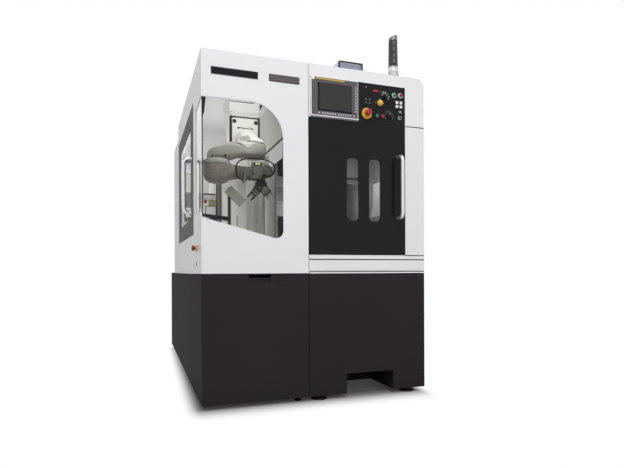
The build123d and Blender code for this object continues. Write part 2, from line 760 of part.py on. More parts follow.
def workpiece_stand():
    """White pedestal with a slot down its front, and the tilted flat bar on its boss."""
    low = BASE_HEIGHT + FLOOR_GAP + FLOOR_SHEET
    top = low + STAND_HEIGHT
    right, rear = STAND_X + STAND_WIDTH, STAND_Y + STAND_DEPTH
    stand = block(STAND_X, right, STAND_Y, rear, low, top)
    stand -= block(STAND_X + SHEET, right - SHEET, STAND_Y + SHEET, rear - SHEET, low, top - SHEET)
    slot = STAND_X + STAND_SLOT_X
    slot_low, slot_top = low + STAND_SLOT_MARGIN, top - STAND_SLOT_MARGIN
    stand -= block(slot, slot + STAND_SLOT_WIDTH, STAND_Y, STAND_Y + SHEET, slot_low, slot_top)
    x, z = STAND_X + BAR_X, top - BAR_DROP
    face = STAND_Y - BAR_STANDOFF
    outline = Pos(x, z) * Rot(0, 0, BAR_TILT) * Rectangle(BAR_LENGTH, BAR_WIDTH)
    bar = front_plate(outline, face - BAR_THICKNESS, face)
    return [stand, bar + rod_y(x, face, STAND_Y, z, BAR_BOSS_RADIUS)]


def rear_cabinet():
    """Cabinet shell with the passage through it, and the frame round its door opening."""
    shell = block(0, RIGHT_X, BODY_DEPTH, REAR_Y, BASE_HEIGHT, REAR_TOP)
    hollow = block(
        SHEET, RIGHT_X - SHEET, BODY_DEPTH + SHEET, REAR_Y - SHEET, BASE_HEIGHT + SHEET, REAR_TOP - SHEET
    )
    hollow -= block(
        PASSAGE_LEFT - SHEET, PASSAGE_RIGHT + SHEET, BODY_DEPTH, REAR_Y,
        PASSAGE_LOW - SHEET, PASSAGE_TOP + SHEET,
    )
    frame = CABINET_FRAME_WIDTH
    hollow -= block(
        CABINET_DOOR_LEFT - frame, CABINET_DOOR_RIGHT + frame, REAR_Y - CABINET_FRAME, REAR_Y,
        CABINET_DOOR_LOW - frame, CABINET_DOOR_TOP + frame,
    )
    shell -= hollow
    shell -= block(PASSAGE_LEFT, PASSAGE_RIGHT, BODY_DEPTH, REAR_Y, PASSAGE_LOW, PASSAGE_TOP)
    shell -= block(
        CABINET_DOOR_LEFT, CABINET_DOOR_RIGHT, REAR_Y - CABINET_FRAME, REAR_Y,
        CABINET_DOOR_LOW, CABINET_DOOR_TOP,
    )
    return shell - pivot_bores(CABINET_PIVOT, CABINET_DOOR_LOW + SEAM, CABINET_DOOR_TOP - SEAM)


def cabinet_door():
    left, right = CABINET_DOOR_LEFT + SEAM, CABINET_DOOR_RIGHT - HINGE_GAP
    low, top = CABINET_DOOR_LOW + SEAM, CABINET_DOOR_TOP - SEAM
    door = block(left, right, REAR_Y - CABINET_FRAME, REAR_Y, low, top)
    wall = DOOR_FLANGE
    door -= block(
        left + wall, right - wall, REAR_Y - CABINET_FRAME, REAR_Y - CABINET_SKIN, low + wall, top - wall
    )
    door += pivot_pins(CABINET_PIVOT, low, top)
    x, z = switch_place()
    return door - rod_y(x, REAR_Y - CABINET_SKIN, REAR_Y, z, KNOB_STEM_RADIUS + PIVOT_CLEARANCE)


def switch_place():
    return CABINET_DOOR_LEFT + SWITCH_FROM_EDGE, CABINET_DOOR_LOW + SWITCH_RISE


def main_switch():
    """Rotary main switch: disc, grip across it and the shaft through the door."""
    x, z = switch_place()
    face = REAR_Y + MOVING_GAP
    disc = rod_y(x, face, face + SWITCH_HEIGHT / 3, z, SWITCH_RADIUS)
    grip = block(
        x - KNOB_POINTER, x + KNOB_POINTER, face, face + SWITCH_HEIGHT, z - SWITCH_RADIUS, z + SWITCH_RADIUS
    )
    return disc + grip + rod_y(x, REAR_Y - STEM_BEHIND, face, z, KNOB_STEM_RADIUS)


# Grinder enclosure


def cover_outline(inset):
    """The grinder seen from the front, drawn in by inset at the top and on the right."""
    right, top = RIGHT_X - inset, BODY_HEIGHT - inset
    low = BASE_HEIGHT + SEAM
    outline = polygon((GRINDER_X, low), (right, low), (right, top), (GRINDER_X, top))
    return rounded(outline, CORNER_RADIUS - inset, (right, top))


def grinder_cover():
    cover = front_plate(cover_outline(0) - cover_outline(SHEET), FRONT_DEPTH, BODY_DEPTH)
    rear = front_plate(cover_outline(0), BODY_DEPTH - SHEET, BODY_DEPTH)
    return cover + (rear & block(GRINDER_X, RIGHT_X, 0, BODY_DEPTH, REAR_TOP, BODY_HEIGHT))


def grinder_front_frame():
    """Upper band with the opening for monitor and switches, right column and lower trim."""
    upper = front_plate(cover_outline(0), 0, FRONT_DEPTH)
    upper &= block(GRINDER_X, RIGHT_X, 0, FRONT_DEPTH, BAND_LOW, BODY_HEIGHT)
    left, right = GRINDER_X + BAND_STRIP, COLUMN_X
    upper -= block(left, right, 0, PANEL_BACK, BAND_LOW, BAND_TOP)
    ledge = BAND_LEDGE
    upper -= block(left + ledge, right - ledge, 0, FRONT_DEPTH, BAND_LOW + ledge, BAND_TOP - ledge)
    bores = pivot_bores(OPERATOR_PIVOT, DOOR_LOW, DOOR_TOP)
    trim_top = BASE_HEIGHT + LOWER_TRIM
    column = block(COLUMN_X, RIGHT_X, 0, FRONT_DEPTH, trim_top, BAND_LOW - SEAM)
    trim = block(GRINDER_X, RIGHT_X, 0, FRONT_DEPTH, BASE_HEIGHT + SEAM, trim_top)
    for height in TRIM_GROOVE_HEIGHTS:
        low = BASE_HEIGHT + height
        trim -= block(GRINDER_X, RIGHT_X, 0, TRIM_GROOVE, low, low + TRIM_GROOVE)
    return [upper - bores, column + trim - bores]


def slot_outline(number, lap):
    """One of the door's two tall slots, drawn as (x, z) and widened by lap."""
    x = DOOR_LEFT + SLOT_FROM_HINGE + number * SLOT_PITCH
    slot = RectangleRounded(SLOT_WIDTH + 2 * lap, SLOT_HEIGHT + 2 * lap, SLOT_RADIUS)
    return Pos(x, DOOR_LOW + SLOT_RISE) * slot


def operator_door():
    door = block(DOOR_LEFT, DOOR_RIGHT, 0, DOOR_THICKNESS, DOOR_LOW, DOOR_TOP)
    wall = DOOR_FLANGE
    door -= block(
        DOOR_LEFT + wall, DOOR_RIGHT - wall, DOOR_SKIN, DOOR_THICKNESS, DOOR_LOW + wall, DOOR_TOP - wall
    )
    for number in range(2):
        door -= front_plate(slot_outline(number, 0), 0, DOOR_SKIN)
    return door + pivot_pins(OPERATOR_PIVOT, DOOR_LOW, DOOR_TOP)


def door_windows():
    return [front_plate(slot_outline(number, SLOT_LAP), DOOR_SKIN, DOOR_SKIN + PANE) for number in range(2)]


def door_handle():
    start = (DOOR_RIGHT - HANDLE_FROM_EDGE, 0, DOOR_LOW + HANDLE_RISE - HANDLE_LENGTH / 2)
    return bar_handle(
        start, (0, -1, 0), (0, 0, 1), HANDLE_LENGTH, HANDLE_STANDOFF, HANDLE_BEND, HANDLE_RADIUS
    )


def monitor():
    """Bezel with its body behind, screen, soft keys, plain stripe, blank cap and ledge."""
    left = GRINDER_X + MONITOR_X
    low = BAND_LOW + (BAND_HEIGHT - MONITOR_HEIGHT) / 2
    right, top = left + MONITOR_WIDTH, low + MONITOR_HEIGHT
    bezel = block(left, right, -MONITOR_PROUD, PANEL_BACK, low, top)
    inner = BAND_LEDGE + BAND_STRIP
    bezel += block(
        left + inner, right - inner, PANEL_BACK, PANEL_BACK + MONITOR_BODY_DEPTH, low + inner, top - inner
    )
    face = -MONITOR_PROUD
    screen_box = (left + SCREEN_X, left + SCREEN_X + SCREEN_WIDTH)
    screen_rise = (low + SCREEN_RISE, low + SCREEN_RISE + SCREEN_HEIGHT)
    bezel -= block(*screen_box, face, face + SCREEN_RECESS, *screen_rise)
    back = face + SCREEN_RECESS
    bezel += block(*screen_box, back - SCREEN_GLASS, back, *screen_rise)
    half = SOFT_KEY / 2
    key_row = [(left + SCREEN_X + i * SOFT_KEY_PITCH, low + KEY_MARGIN) for i in range(SOFT_KEY_COUNT)]
    column_x, column_low = right - KEY_MARGIN + half, low + SCREEN_RISE + half
    key_column = [(column_x, column_low + i * SIDE_KEY_PITCH) for i in range(SIDE_KEY_COUNT)]
    for x, z in key_row + key_column:
        bezel += block(x - half, x + half, face - SOFT_KEY_PROUD, face, z - half, z + half)
    stripe_left = left + SCREEN_X - KEY_MARGIN
    stripe_low = top - KEY_MARGIN + half
    stripe_right = stripe_left + STRIPE_LENGTH
    stripe_top = stripe_low + STRIPE_HEIGHT
    bezel += block(stripe_left, stripe_right, face - SOFT_KEY_PROUD, face, stripe_low, stripe_top)
    cap_left = left + half
    cap_low = top - half - BLANK_CAP
    bezel += block(cap_left, cap_left + BLANK_CAP, face - SOFT_KEY_PROUD, face, cap_low, cap_low + BLANK_CAP)
    return bezel + block(left, right, face - LEDGE_REACH, face, low, low + LEDGE_HEIGHT)


# Switch panel and its controls


def on_panel(place):
    """A place on the switch panel, given from its nearer side edge and its lower edge."""
    edge = GRINDER_X + SWITCH_PANEL_X if place[0] > 0 else COLUMN_X
    return edge + place[0], BAND_LOW + place[1]


def white_buttons():
    """Names and places of the four square push buttons."""
    x, z = WHITE_BUTTON_FIRST
    dx, dz = WHITE_BUTTON_PITCH
    places = [(x + column * dx, z - row * dz) for row in range(2) for column in range(2)]
    return {f"white_button_{number}": place for number, place in enumerate(places, 1)}


def control_panel():
    panel = block(
        COLUMN_X - SWITCH_PANEL_WIDTH, COLUMN_X, PANEL_RECESS, PANEL_BACK, BAND_LOW, BAND_TOP
    )
    holes = [(ESTOP_PLACE, ESTOP_STEM_RADIUS + STEM_CLEARANCE)]
    for place in list(ROUND_BUTTONS.values()) + list(white_buttons().values()):
        holes.append((place, BUTTON_STEM_RADIUS + STEM_CLEARANCE))
    for knob in KNOBS.values():
        holes.append((knob[:2], KNOB_STEM_RADIUS + PIVOT_CLEARANCE))
    for place, radius in holes:
        x, z = on_panel(place)
        panel -= rod_y(x, PANEL_RECESS, PANEL_BACK, z, radius)
    return panel


def round_button(place):
    x, z = on_panel(place)
    rim = PANEL_RECESS - BUTTON_RING_HEIGHT
    cap = rod_y(x, rim - BUTTON_PROUD, PANEL_RECESS - BUTTON_TRAVEL - MOVING_GAP, z, BUTTON_RADIUS)
    return cap + rod_y(x, rim, PANEL_BACK + STEM_BEHIND, z, BUTTON_STEM_RADIUS)


def square_button(place):
    x, z = on_panel(place)
    half = WHITE_BUTTON / 2
    rim = PANEL_RECESS - BUTTON_RING_HEIGHT
    cap = block(
        x - half, x + half, rim, PANEL_RECESS - BUTTON_TRAVEL - MOVING_GAP, z - half, z + half
    )
    return cap + rod_y(x, rim, PANEL_BACK + STEM_BEHIND, z, BUTTON_STEM_RADIUS)


def knob(place):
    """A turning control: round knob with a raised pointer, on a stem through the panel."""
    x, z = on_panel(place)
    radius = place[2]
    back = PANEL_RECESS - MOVING_GAP
    front = back - KNOB_HEIGHT
    body = rod_y(x, front + KNOB_POINTER, back, z, radius)
    half = KNOB_POINTER / 2
    body += block(x - half, x + half, front, back, z - radius / 2, z + radius - half)
    return body + rod_y(x, back, PANEL_BACK + STEM_BEHIND, z, KNOB_STEM_RADIUS)


def estop_button():
    x, z = on_panel(ESTOP_PLACE)
    head = PANEL_RECESS - ESTOP_COLLAR_HEIGHT - ESTOP_STANDOFF
    button = rod_y(x, head - ESTOP_HEAD_LENGTH, head, z, ESTOP_HEAD_RADIUS)
    return button + rod_y(x, head, PANEL_BACK + STEM_BEHIND, z, ESTOP_STEM_RADIUS)


def side_estop_button():
    y, z = SIDE_ESTOP_Y, BASE_HEIGHT + SIDE_ESTOP_RISE
    head = -ESTOP_COLLAR_HEIGHT - ESTOP_STANDOFF
    button = rod_x(head - ESTOP_HEAD_LENGTH, head, y, z, ESTOP_HEAD_RADIUS)
    return button + rod_x(head, SHEET + STEM_BEHIND, y, z, ESTOP_STEM_RADIUS)


def panel_fittings():
    """What is fixed to the panels: collars, rings, lamp bar, port cover, lamp grid, blank plates."""
    face = PANEL_RECESS
    stem_hole = ESTOP_STEM_RADIUS + STEM_CLEARANCE
    x, z = on_panel(ESTOP_PLACE)
    collar = rod_y(x, face - ESTOP_COLLAR_HEIGHT, face, z, ESTOP_COLLAR_RADIUS)
    pieces = [collar - rod_y(x, face - ESTOP_COLLAR_HEIGHT, face, z, stem_hole)]
    y, z = SIDE_ESTOP_Y, BASE_HEIGHT + SIDE_ESTOP_RISE
    collar = rod_x(-ESTOP_COLLAR_HEIGHT, 0, y, z, SIDE_ESTOP_COLLAR_RADIUS)
    pieces.append(collar - rod_x(-ESTOP_COLLAR_HEIGHT, 0, y, z, stem_hole))
    for place in ROUND_BUTTONS.values():
        x, z = on_panel(place)
        ring = rod_y(x, face - BUTTON_RING_HEIGHT, face, z, BUTTON_RADIUS + BUTTON_RING)
        pieces.append(ring - rod_y(x, face - BUTTON_RING_HEIGHT, face, z, BUTTON_RADIUS + STEM_CLEARANCE))
    for place_x, place_z, width, height in (LAMP_BAR, PORT_COVER, LAMP_GRID):
        x, z = on_panel((place_x, place_z))
        pieces.append(
            block(x - width / 2, x + width / 2, face - FITTING_PROUD, face, z - height / 2, z + height / 2)
        )
    top = BODY_HEIGHT - PLATE_FROM_TOP
    right = CELL_WIDTH - RIGHT_PLATE_MARGIN
    left = LEFT_PLATE_MARGIN
    for x0, x1 in ((left, left + LEFT_PLATE_WIDTH), (right - RIGHT_PLATE_WIDTH, right)):
        pieces.append(block(x0, x1, -FITTING_PROUD, 0, top - PLATE_HEIGHT, top))
    y, z = SIDE_LATCH_Y - SIDE_LATCH_WIDTH / 2, BASE_HEIGHT + SIDE_LATCH_RISE - SIDE_LATCH_HEIGHT / 2
    pieces.append(block(-FITTING_PROUD, 0, y, y + SIDE_LATCH_WIDTH, z, z + SIDE_LATCH_HEIGHT))
    return pieces


# Grinding machine


def machine_column():
    """Bed, hollow column with its cross beam and rails, and the work head on the bed."""
    bed = block(
        GRINDER_X + BED_MARGIN, RIGHT_X - BED_MARGIN, BED_FRONT, BODY_DEPTH - BED_REAR_GAP,
        BASE_HEIGHT, BED_TOP,
    )
    width, depth = COLUMN_SIZE
    left, right = WORK_X - width / 2, WORK_X + width / 2
    rear, top = COLUMN_Y + depth, COLUMN_TOP
    column = block(left, right, COLUMN_Y, rear, BED_TOP, top)
    core = COLUMN_CORE
    column -= block(left + core, right - core, COLUMN_Y + core, rear - core, BED_TOP, top - core)
    half = BEAM_LENGTH / 2
    beam_front = COLUMN_Y - BEAM_DEPTH
    column += block(WORK_X - half, WORK_X + half, beam_front, COLUMN_Y, BEAM_LOW, BEAM_LOW + BEAM_HEIGHT)
    for height in X_RAIL_HEIGHTS:
        column += x_rail(height, 0)
    head = rod_z(WORK_X, WORK_Y, BED_TOP, WORK_HEAD_TOP, WORK_HEAD_RADIUS)
    seat = WORK_HEAD_TOP - CHUCK_SPINDLE_LENGTH - SEAM
    head -= rod_z(WORK_X, WORK_Y, seat, WORK_HEAD_TOP, CHUCK_SPINDLE_RADIUS + PIVOT_CLEARANCE)
    return bed + column + head


def x_rail(height, gap):
    """A cross rail on the beam's front, widened by gap."""
    half = BEAM_LENGTH / 2
    front = COLUMN_Y - BEAM_DEPTH
    low = BEAM_LOW + height - RAIL_SECTION / 2
    return block(
        WORK_X - half, WORK_X + half, front - RAIL_SECTION - gap, front, low - gap, low + RAIL_SECTION + gap
    )


def z_rail(side, gap):
    """A vertical rail on the saddle's front, widened by gap."""
    x = WORK_X + side * Z_RAIL_OFFSET
    half = RAIL_SECTION / 2 + gap
    return block(
        x - half, x + half, SADDLE_FRONT - RAIL_SECTION - gap, SADDLE_FRONT, BEAM_LOW, BEAM_LOW + BEAM_HEIGHT
    )


def x_saddle():
    """Cross slide that runs on the two cross rails and carries the two vertical rails."""
    half = SADDLE_WIDTH / 2
    back = COLUMN_Y - BEAM_DEPTH - MOVING_GAP
    saddle = block(WORK_X - half, WORK_X + half, SADDLE_FRONT, back, BEAM_LOW, BEAM_LOW + BEAM_HEIGHT)
    for height in X_RAIL_HEIGHTS:
        saddle -= x_rail(height, MOVING_GAP)
    return saddle + z_rail(-1, 0) + z_rail(1, 0)


def wheel_head():
    """Vertical slide on the saddle's rails, with the spindle housing in front."""
    width, depth, height = HEAD_SIZE
    back = SADDLE_FRONT - MOVING_GAP
    head = block(WORK_X - width / 2, WORK_X + width / 2, back - depth, back, HEAD_LOW, HEAD_LOW + height)
    for side in (-1, 1):
        x = WORK_X + side * Z_RAIL_OFFSET
        half = RAIL_SECTION / 2 + MOVING_GAP
        groove = SADDLE_FRONT - RAIL_SECTION - MOVING_GAP
        head -= block(x - half, x + half, groove, SADDLE_FRONT, HEAD_LOW, HEAD_LOW + height)
    half = SPINDLE_RADIUS / 2
    head += block(WORK_X - half, WORK_X + half, WORK_Y, back - depth, HEAD_LOW, HEAD_LOW + height)
    head += rod_z(WORK_X, WORK_Y, SPINDLE_LOW, SPINDLE_LOW + SPINDLE_LENGTH, SPINDLE_RADIUS)
    seat = SPINDLE_LOW + WHEEL_SHAFT_SEAT + SEAM
    return head - rod_z(WORK_X, WORK_Y, SPINDLE_LOW, seat, WHEEL_SHAFT_RADIUS + PIVOT_CLEARANCE)


def grinding_wheel():
    wheel = rod_z(WORK_X, WORK_Y, WHEEL_LOW, WHEEL_LOW + WHEEL_HEIGHT, WHEEL_RADIUS)
    top = SPINDLE_LOW + WHEEL_SHAFT_SEAT
    return wheel + rod_z(WORK_X, WORK_Y, WHEEL_LOW + WHEEL_HEIGHT, top, WHEEL_SHAFT_RADIUS)


def work_chuck():
    low = WORK_HEAD_TOP + MOVING_GAP
    chuck = rod_z(WORK_X, WORK_Y, low, low + CHUCK_HEIGHT, CHUCK_RADIUS)
    return chuck + rod_z(WORK_X, WORK_Y, low - CHUCK_SPINDLE_LENGTH, low, CHUCK_SPINDLE_RADIUS)


# Robot


def robot_mount():
    """Bracket under the roof: face plate, top flange and two ribs."""
    left, right = ROBOT_X - MOUNT_WIDTH / 2, ROBOT_X + MOUNT_WIDTH / 2
    top = BODY_HEIGHT - SHEET
    back = MOUNT_Y + MOUNT_PLATE
    end = back + MOUNT_RIB_DEPTH
    mount = block(left, right, MOUNT_Y, back, MOUNT_LOW, top)
    mount += block(left, right, back, end, top - MOUNT_RIB, top)
    rib = polygon((back, MOUNT_LOW), (back, top - MOUNT_RIB), (end, top - MOUNT_RIB))
    return mount + side_plate(rib, left, left + MOUNT_RIB) + side_plate(rib, right - MOUNT_RIB, right)


def robot_base():
    width, plate, height = BASE_FLANGE
    face = MOUNT_Y - plate
    low = ROBOT_Z + BASE_FLANGE_RISE - height / 2
    base = block(ROBOT_X - width / 2, ROBOT_X + width / 2, face, MOUNT_Y, low, low + height)
    return base + rod_y(ROBOT_X, face - BASE_BODY_LENGTH, face, ROBOT_Z, BASE_BODY_RADIUS)


def robot_shoulder():
    """Turret on the first axis and the chamfered block that holds the second axis."""
    back = MOUNT_Y - BASE_FLANGE[1] - BASE_BODY_LENGTH - MOVING_GAP
    turret = rod_y(ROBOT_X, back - TURRET_LENGTH, back, ROBOT_Z, TURRET_RADIUS)
    width, depth, height = SHOULDER_SIZE
    low = ARM_TOP + MOVING_GAP
    cut = SHOULDER_CHAMFER
    half = width / 2
    lean, rise = SHOULDER_SLOPE
    profile = polygon(
        (-half, 0), (half, 0), (half, cut), (half - lean, rise), (half - lean - cut, height),
        (cut - half, height), (-half, height - cut),
    )
    front = SHOULDER_Y - depth / 2
    body = front_plate(Pos(SHOULDER_X, low) * profile, front, back)
    left, right = SHOULDER_X - half, SHOULDER_X + half
    plan = polygon(
        (left + cut, front), (right - cut, front), (right, front + cut), (right, SHOULDER_Y),
        (right - lean, back), (left + cut, back), (left, SHOULDER_Y), (left, front + cut),
    )
    return turret + (body & extrude(Pos(0, 0, low) * plan, amount=height))


def robot_upper_arm():
    """Tapered arm between the two vertical axes, which falls towards the elbow."""
    shoulder = Pos(SHOULDER_X, SHOULDER_Y) * Circle(ARM_SHOULDER_RADIUS)
    elbow = Pos(ELBOW_X, ELBOW_Y) * Circle(ARM_ELBOW_RADIUS)
    outline = make_hull(shoulder.edges() + elbow.edges())
    arm = extrude(Pos(0, 0, ARM_LOW) * outline, amount=ARM_TOP - ARM_LOW)
    left, bend = ELBOW_X - ARM_ELBOW_RADIUS, ELBOW_X + ARM_ELBOW_RADIUS
    hub, right = SHOULDER_X - ARM_SHOULDER_RADIUS, SHOULDER_X + ARM_SHOULDER_RADIUS
    elbow_top, shoulder_low = ARM_TOP - ARM_FALL, ARM_LOW + ARM_FALL
    profile = polygon(
        (left, ARM_LOW), (bend, ARM_LOW), (hub, shoulder_low), (right, shoulder_low),
        (right, ARM_TOP), (hub, ARM_TOP), (bend, elbow_top), (left, elbow_top),
    )
    arm &= front_plate(profile, ELBOW_Y - ELBOW_RADIUS, SHOULDER_Y + ELBOW_RADIUS)
    return fillet([edge for edge in arm.edges() if abs((edge % 0.5).Z) < 0.9], ARM_ROUND)


def robot_elbow():
    """Round housing under the upper arm, with the neck that carries the forearm."""
    housing = rod_z(ELBOW_X, ELBOW_Y, ELBOW_LOW, ARM_LOW - MOVING_GAP, ELBOW_RADIUS)
    housing = fillet(housing.edges().filter_by(GeomType.CIRCLE).sort_by(Axis.Z)[0], ELBOW_ROUND)
    return housing + rod_x(ELBOW_X, FOREARM_START, ELBOW_Y, FOREARM_Z, FOREARM_RADIUS)


def wrist_cheek(y0, y1):
    """One cheek of the fork that holds the wrist."""
    disc = rod_y(WRIST_X, y0, y1, FOREARM_Z, WRIST_RADIUS)
    return disc + block(FORK_ROOT, WRIST_X, y0, y1, FOREARM_Z - WRIST_RADIUS, FOREARM_Z + WRIST_RADIUS)


def robot_forearm():
    """Forearm tube, wrist fork, lamp box and the two clips of the cable loop."""
    tube = rod_x(FOREARM_START + MOVING_GAP, FORK_ROOT, ELBOW_Y, FOREARM_Z, FOREARM_RADIUS)
    tube = fillet(tube.edges().filter_by(GeomType.CIRCLE).sort_by(Axis.X)[-1], FOREARM_ROUND)
    half = FORK_WIDTH / 2
    arm = tube + wrist_cheek(ELBOW_Y - half, ELBOW_Y - half + FORK_CHEEK)
    arm += wrist_cheek(ELBOW_Y + half - FORK_CHEEK, ELBOW_Y + half)
    low = FOREARM_Z + WRIST_RADIUS
    width, depth, height = LAMP_BOX
    front = ELBOW_Y - half
    lamp_box = block(WRIST_X - width, WRIST_X, front, front + depth, low, low + height)
    (x0, z0), (x1, z1) = cable_corners()[0], cable_corners()[-1]
    half_clip = CABLE_CLIP / 2
    clip_front = CABLE_Y - half_clip
    arm += block(x0, x0 + CABLE_CLIP, clip_front, ELBOW_Y, z0 - half_clip, FOREARM_Z)
    arm += block(x1 - CABLE_CLIP, x1, clip_front, front + FORK_CHEEK, z1 - half_clip, z1 + half_clip)
    return [arm, lamp_box]


def cable_corners():
    return [(WRIST_X + x, FOREARM_Z + z) for x, z in CABLE_ROUTE]


def wrist_cable():
    """The loop of cable between its two clips, as straight runs and tangent arcs."""
    points = [Vector(x, CABLE_Y, z) for x, z in cable_corners()]
    path = FilletPolyline(*points, radius=list(CABLE_BENDS))
    cable = sweep(Plane(origin=path @ 0, z_dir=path % 0) * Circle(CABLE_RADIUS), path=path)
    expected = math.pi * CABLE_RADIUS**2 * path.length
    print(f"wrist_cable length {path.length:.1f}, bend radii {CABLE_BENDS}")
    print(f"wrist_cable volume {cable.volume:.0f}, section times length {expected:.0f}")
    return cable


def robot_wrist():
    half = FORK_WIDTH / 2 - FORK_CHEEK - MOVING_GAP
    hub = rod_y(WRIST_X, ELBOW_Y - half, ELBOW_Y + half, FOREARM_Z, WRIST_RADIUS - SEAM)
    return hub + rod_z(WRIST_X, ELBOW_Y, FLANGE_Z, FOREARM_Z, FLANGE_RADIUS)


def head_frame(side):
    """The frame of one gripper head: origin on the tool axis, z along the head, x across it."""
    tilt = math.radians(HEAD_TILT)
    along = (side * math.sin(tilt), 0, -math.cos(tilt))
    across = (side * math.cos(tilt), 0, math.sin(tilt))
    return Plane(origin=(WRIST_X, ELBOW_Y, HEAD_Z), x_dir=across, z_dir=along)


def gripper_body():
    """Tool flange, block and two gripper heads that point down to both sides."""
    top = FLANGE_Z - MOVING_GAP
    body = rod_z(WRIST_X, ELBOW_Y, top - GRIPPER_DISC, top, FLANGE_RADIUS)
    width, depth, height = GRIPPER_BLOCK
    body += Pos(WRIST_X, ELBOW_Y, HEAD_Z) * Box(width, depth, height)
    for side in (-1, 1):
        head = Pos(0, 0, HEAD_START) * Box(HEAD_WIDTH, HEAD_WIDTH, HEAD_LENGTH, align=BOTTOM)
        body += head_frame(side) * head
    return body


def gripper_finger(side, place):
    """A finger of the head on that side; place is -1 for the inner and 1 for the outer one."""
    start = HEAD_START + HEAD_LENGTH + MOVING_GAP
    x = place * (FINGER_OPENING + FINGER_THICKNESS) / 2
    finger = Pos(x, 0, start) * Box(FINGER_THICKNESS, FINGER_WIDTH, FINGER_LENGTH, align=BOTTOM)
    return head_frame(side) * finger


# Roof pieces


def signal_tower():
    """Flared base and the smoked lamp on it, cut off at a slant."""
    x, y = RIGHT_X - TOWER_FROM_RIGHT, TOWER_Y
    base = Pos(x, y, BODY_HEIGHT) * Cone(TOWER_BASE_RADIUS, TOWER_RADIUS, TOWER_BASE_HEIGHT, align=BOTTOM)
    lamp_height = TOWER_HEIGHT - TOWER_BASE_HEIGHT
    lamp_low = BODY_HEIGHT + TOWER_BASE_HEIGHT
    lamp = Pos(x, y, lamp_low) * Cone(TOWER_RADIUS, TOWER_TOP_RADIUS, lamp_height, align=BOTTOM)
    top = BODY_HEIGHT + TOWER_HEIGHT
    reach = 2 * TOWER_RADIUS
    left, right, above = x - reach, x + reach, top + reach
    slant = polygon((left, top - 2 * TOWER_SLANT), (left, above), (right, above), (right, top))
    return [base, lamp - front_plate(slant, y - reach, y + reach)]


def roof_unit():
    """Box on the roof, open at the front behind its grille."""
    left, front = GRINDER_X + ROOF_UNIT_X, ROOF_UNIT_Y
    right, rear = left + ROOF_UNIT_WIDTH, front + ROOF_UNIT_DEPTH
    low, top = BODY_HEIGHT, BODY_HEIGHT + ROOF_UNIT_HEIGHT
    box = block(left, right, front, rear, low, top)
    box -= block(left + SHEET, right - SHEET, front, rear - SHEET, low + SHEET, top - SHEET)
    grille = block(left + SHEET, right - SHEET, front, front + SHEET, low + SHEET, top - SHEET)
    inner_low, inner_top = low + SHEET + GRILLE_MARGIN, top - SHEET - GRILLE_MARGIN
    pitch = (inner_top - inner_low + GRILLE_BAR) / (GRILLE_BARS + 1)
    for number in range(GRILLE_BARS + 1):
        slot_low = inner_low + number * pitch
        slot_top = slot_low + pitch - GRILLE_BAR
        inset = SHEET + GRILLE_MARGIN
        grille -= block(left + inset, right - inset, front, front + SHEET, slot_low, slot_top)
    return [box, grille]


def main():
    os.makedirs("parts", exist_ok=True)
    save("cell_base", cell_base())
    save("grinder_base", grinder_base())
    save("levelling_feet", *levelling_feet())
    save("base_drawer", base_drawer(), robot_controller())
    save("drawer_lock", drawer_lock())
    save("cell_front_panel", cell_front_panel())
    save("cell_windows", *cell_windows())
    save("cell_roof", cell_roof())
    save("cell_floor", cell_floor())
    save("partition", partition())
    save("hatch_door", hatch_door())
    save("side_door", side_door())
    save("side_window", side_window())
    save("side_door_handle", side_door_handle())
    save("workpiece_stand", *workpiece_stand())
    save("rear_cabinet", rear_cabinet())
    save("cabinet_door", cabinet_door())
    save("main_switch", main_switch())
    save("grinder_cover", grinder_cover())
    save("grinder_front_frame", *grinder_front_frame())
    save("operator_door", operator_door())
    save("door_windows", *door_windows())
    save("door_handle", door_handle())
    save("monitor", monitor())
    save("control_panel", control_panel())
    save("panel_fittings", *panel_fittings())
    save("estop_button", estop_button())
    save("side_estop_button", side_estop_button())
    for name, place in ROUND_BUTTONS.items():
        save(name, round_button(place))
    for name, place in white_buttons().items():
        save(name, square_button(place))
    for name, place in KNOBS.items():
        save(name, knob(place))
    save("machine_column", machine_column())
    save("x_saddle", x_saddle())
    save("wheel_head", wheel_head())
    save("grinding_wheel", grinding_wheel())
    save("work_chuck", work_chuck())
    save("robot_mount", robot_mount())
    save("robot_base", robot_base())
    save("robot_shoulder", robot_shoulder())
    save("robot_upper_arm", robot_upper_arm())
    save("robot_elbow", robot_elbow())
    save("robot_forearm", *robot_forearm())
    save("wrist_cable", wrist_cable())
    save("robot_wrist", robot_wrist())
    save("gripper_body", gripper_body())
    for side, side_name in ((-1, "left"), (1, "right")):
        for place, place_name in ((-1, "inner"), (1, "outer")):
            save(f"{side_name}_finger_{place_name}", gripper_finger(side, place))
    save("signal_tower", *signal_tower())
    save("roof_unit", *roof_unit())


if __name__ == "__main__":
    main()
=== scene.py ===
from math import atan2, copysign, cos, pi, radians, sin, sqrt

import bmesh
import bpy
from mathutils import Matrix, Vector


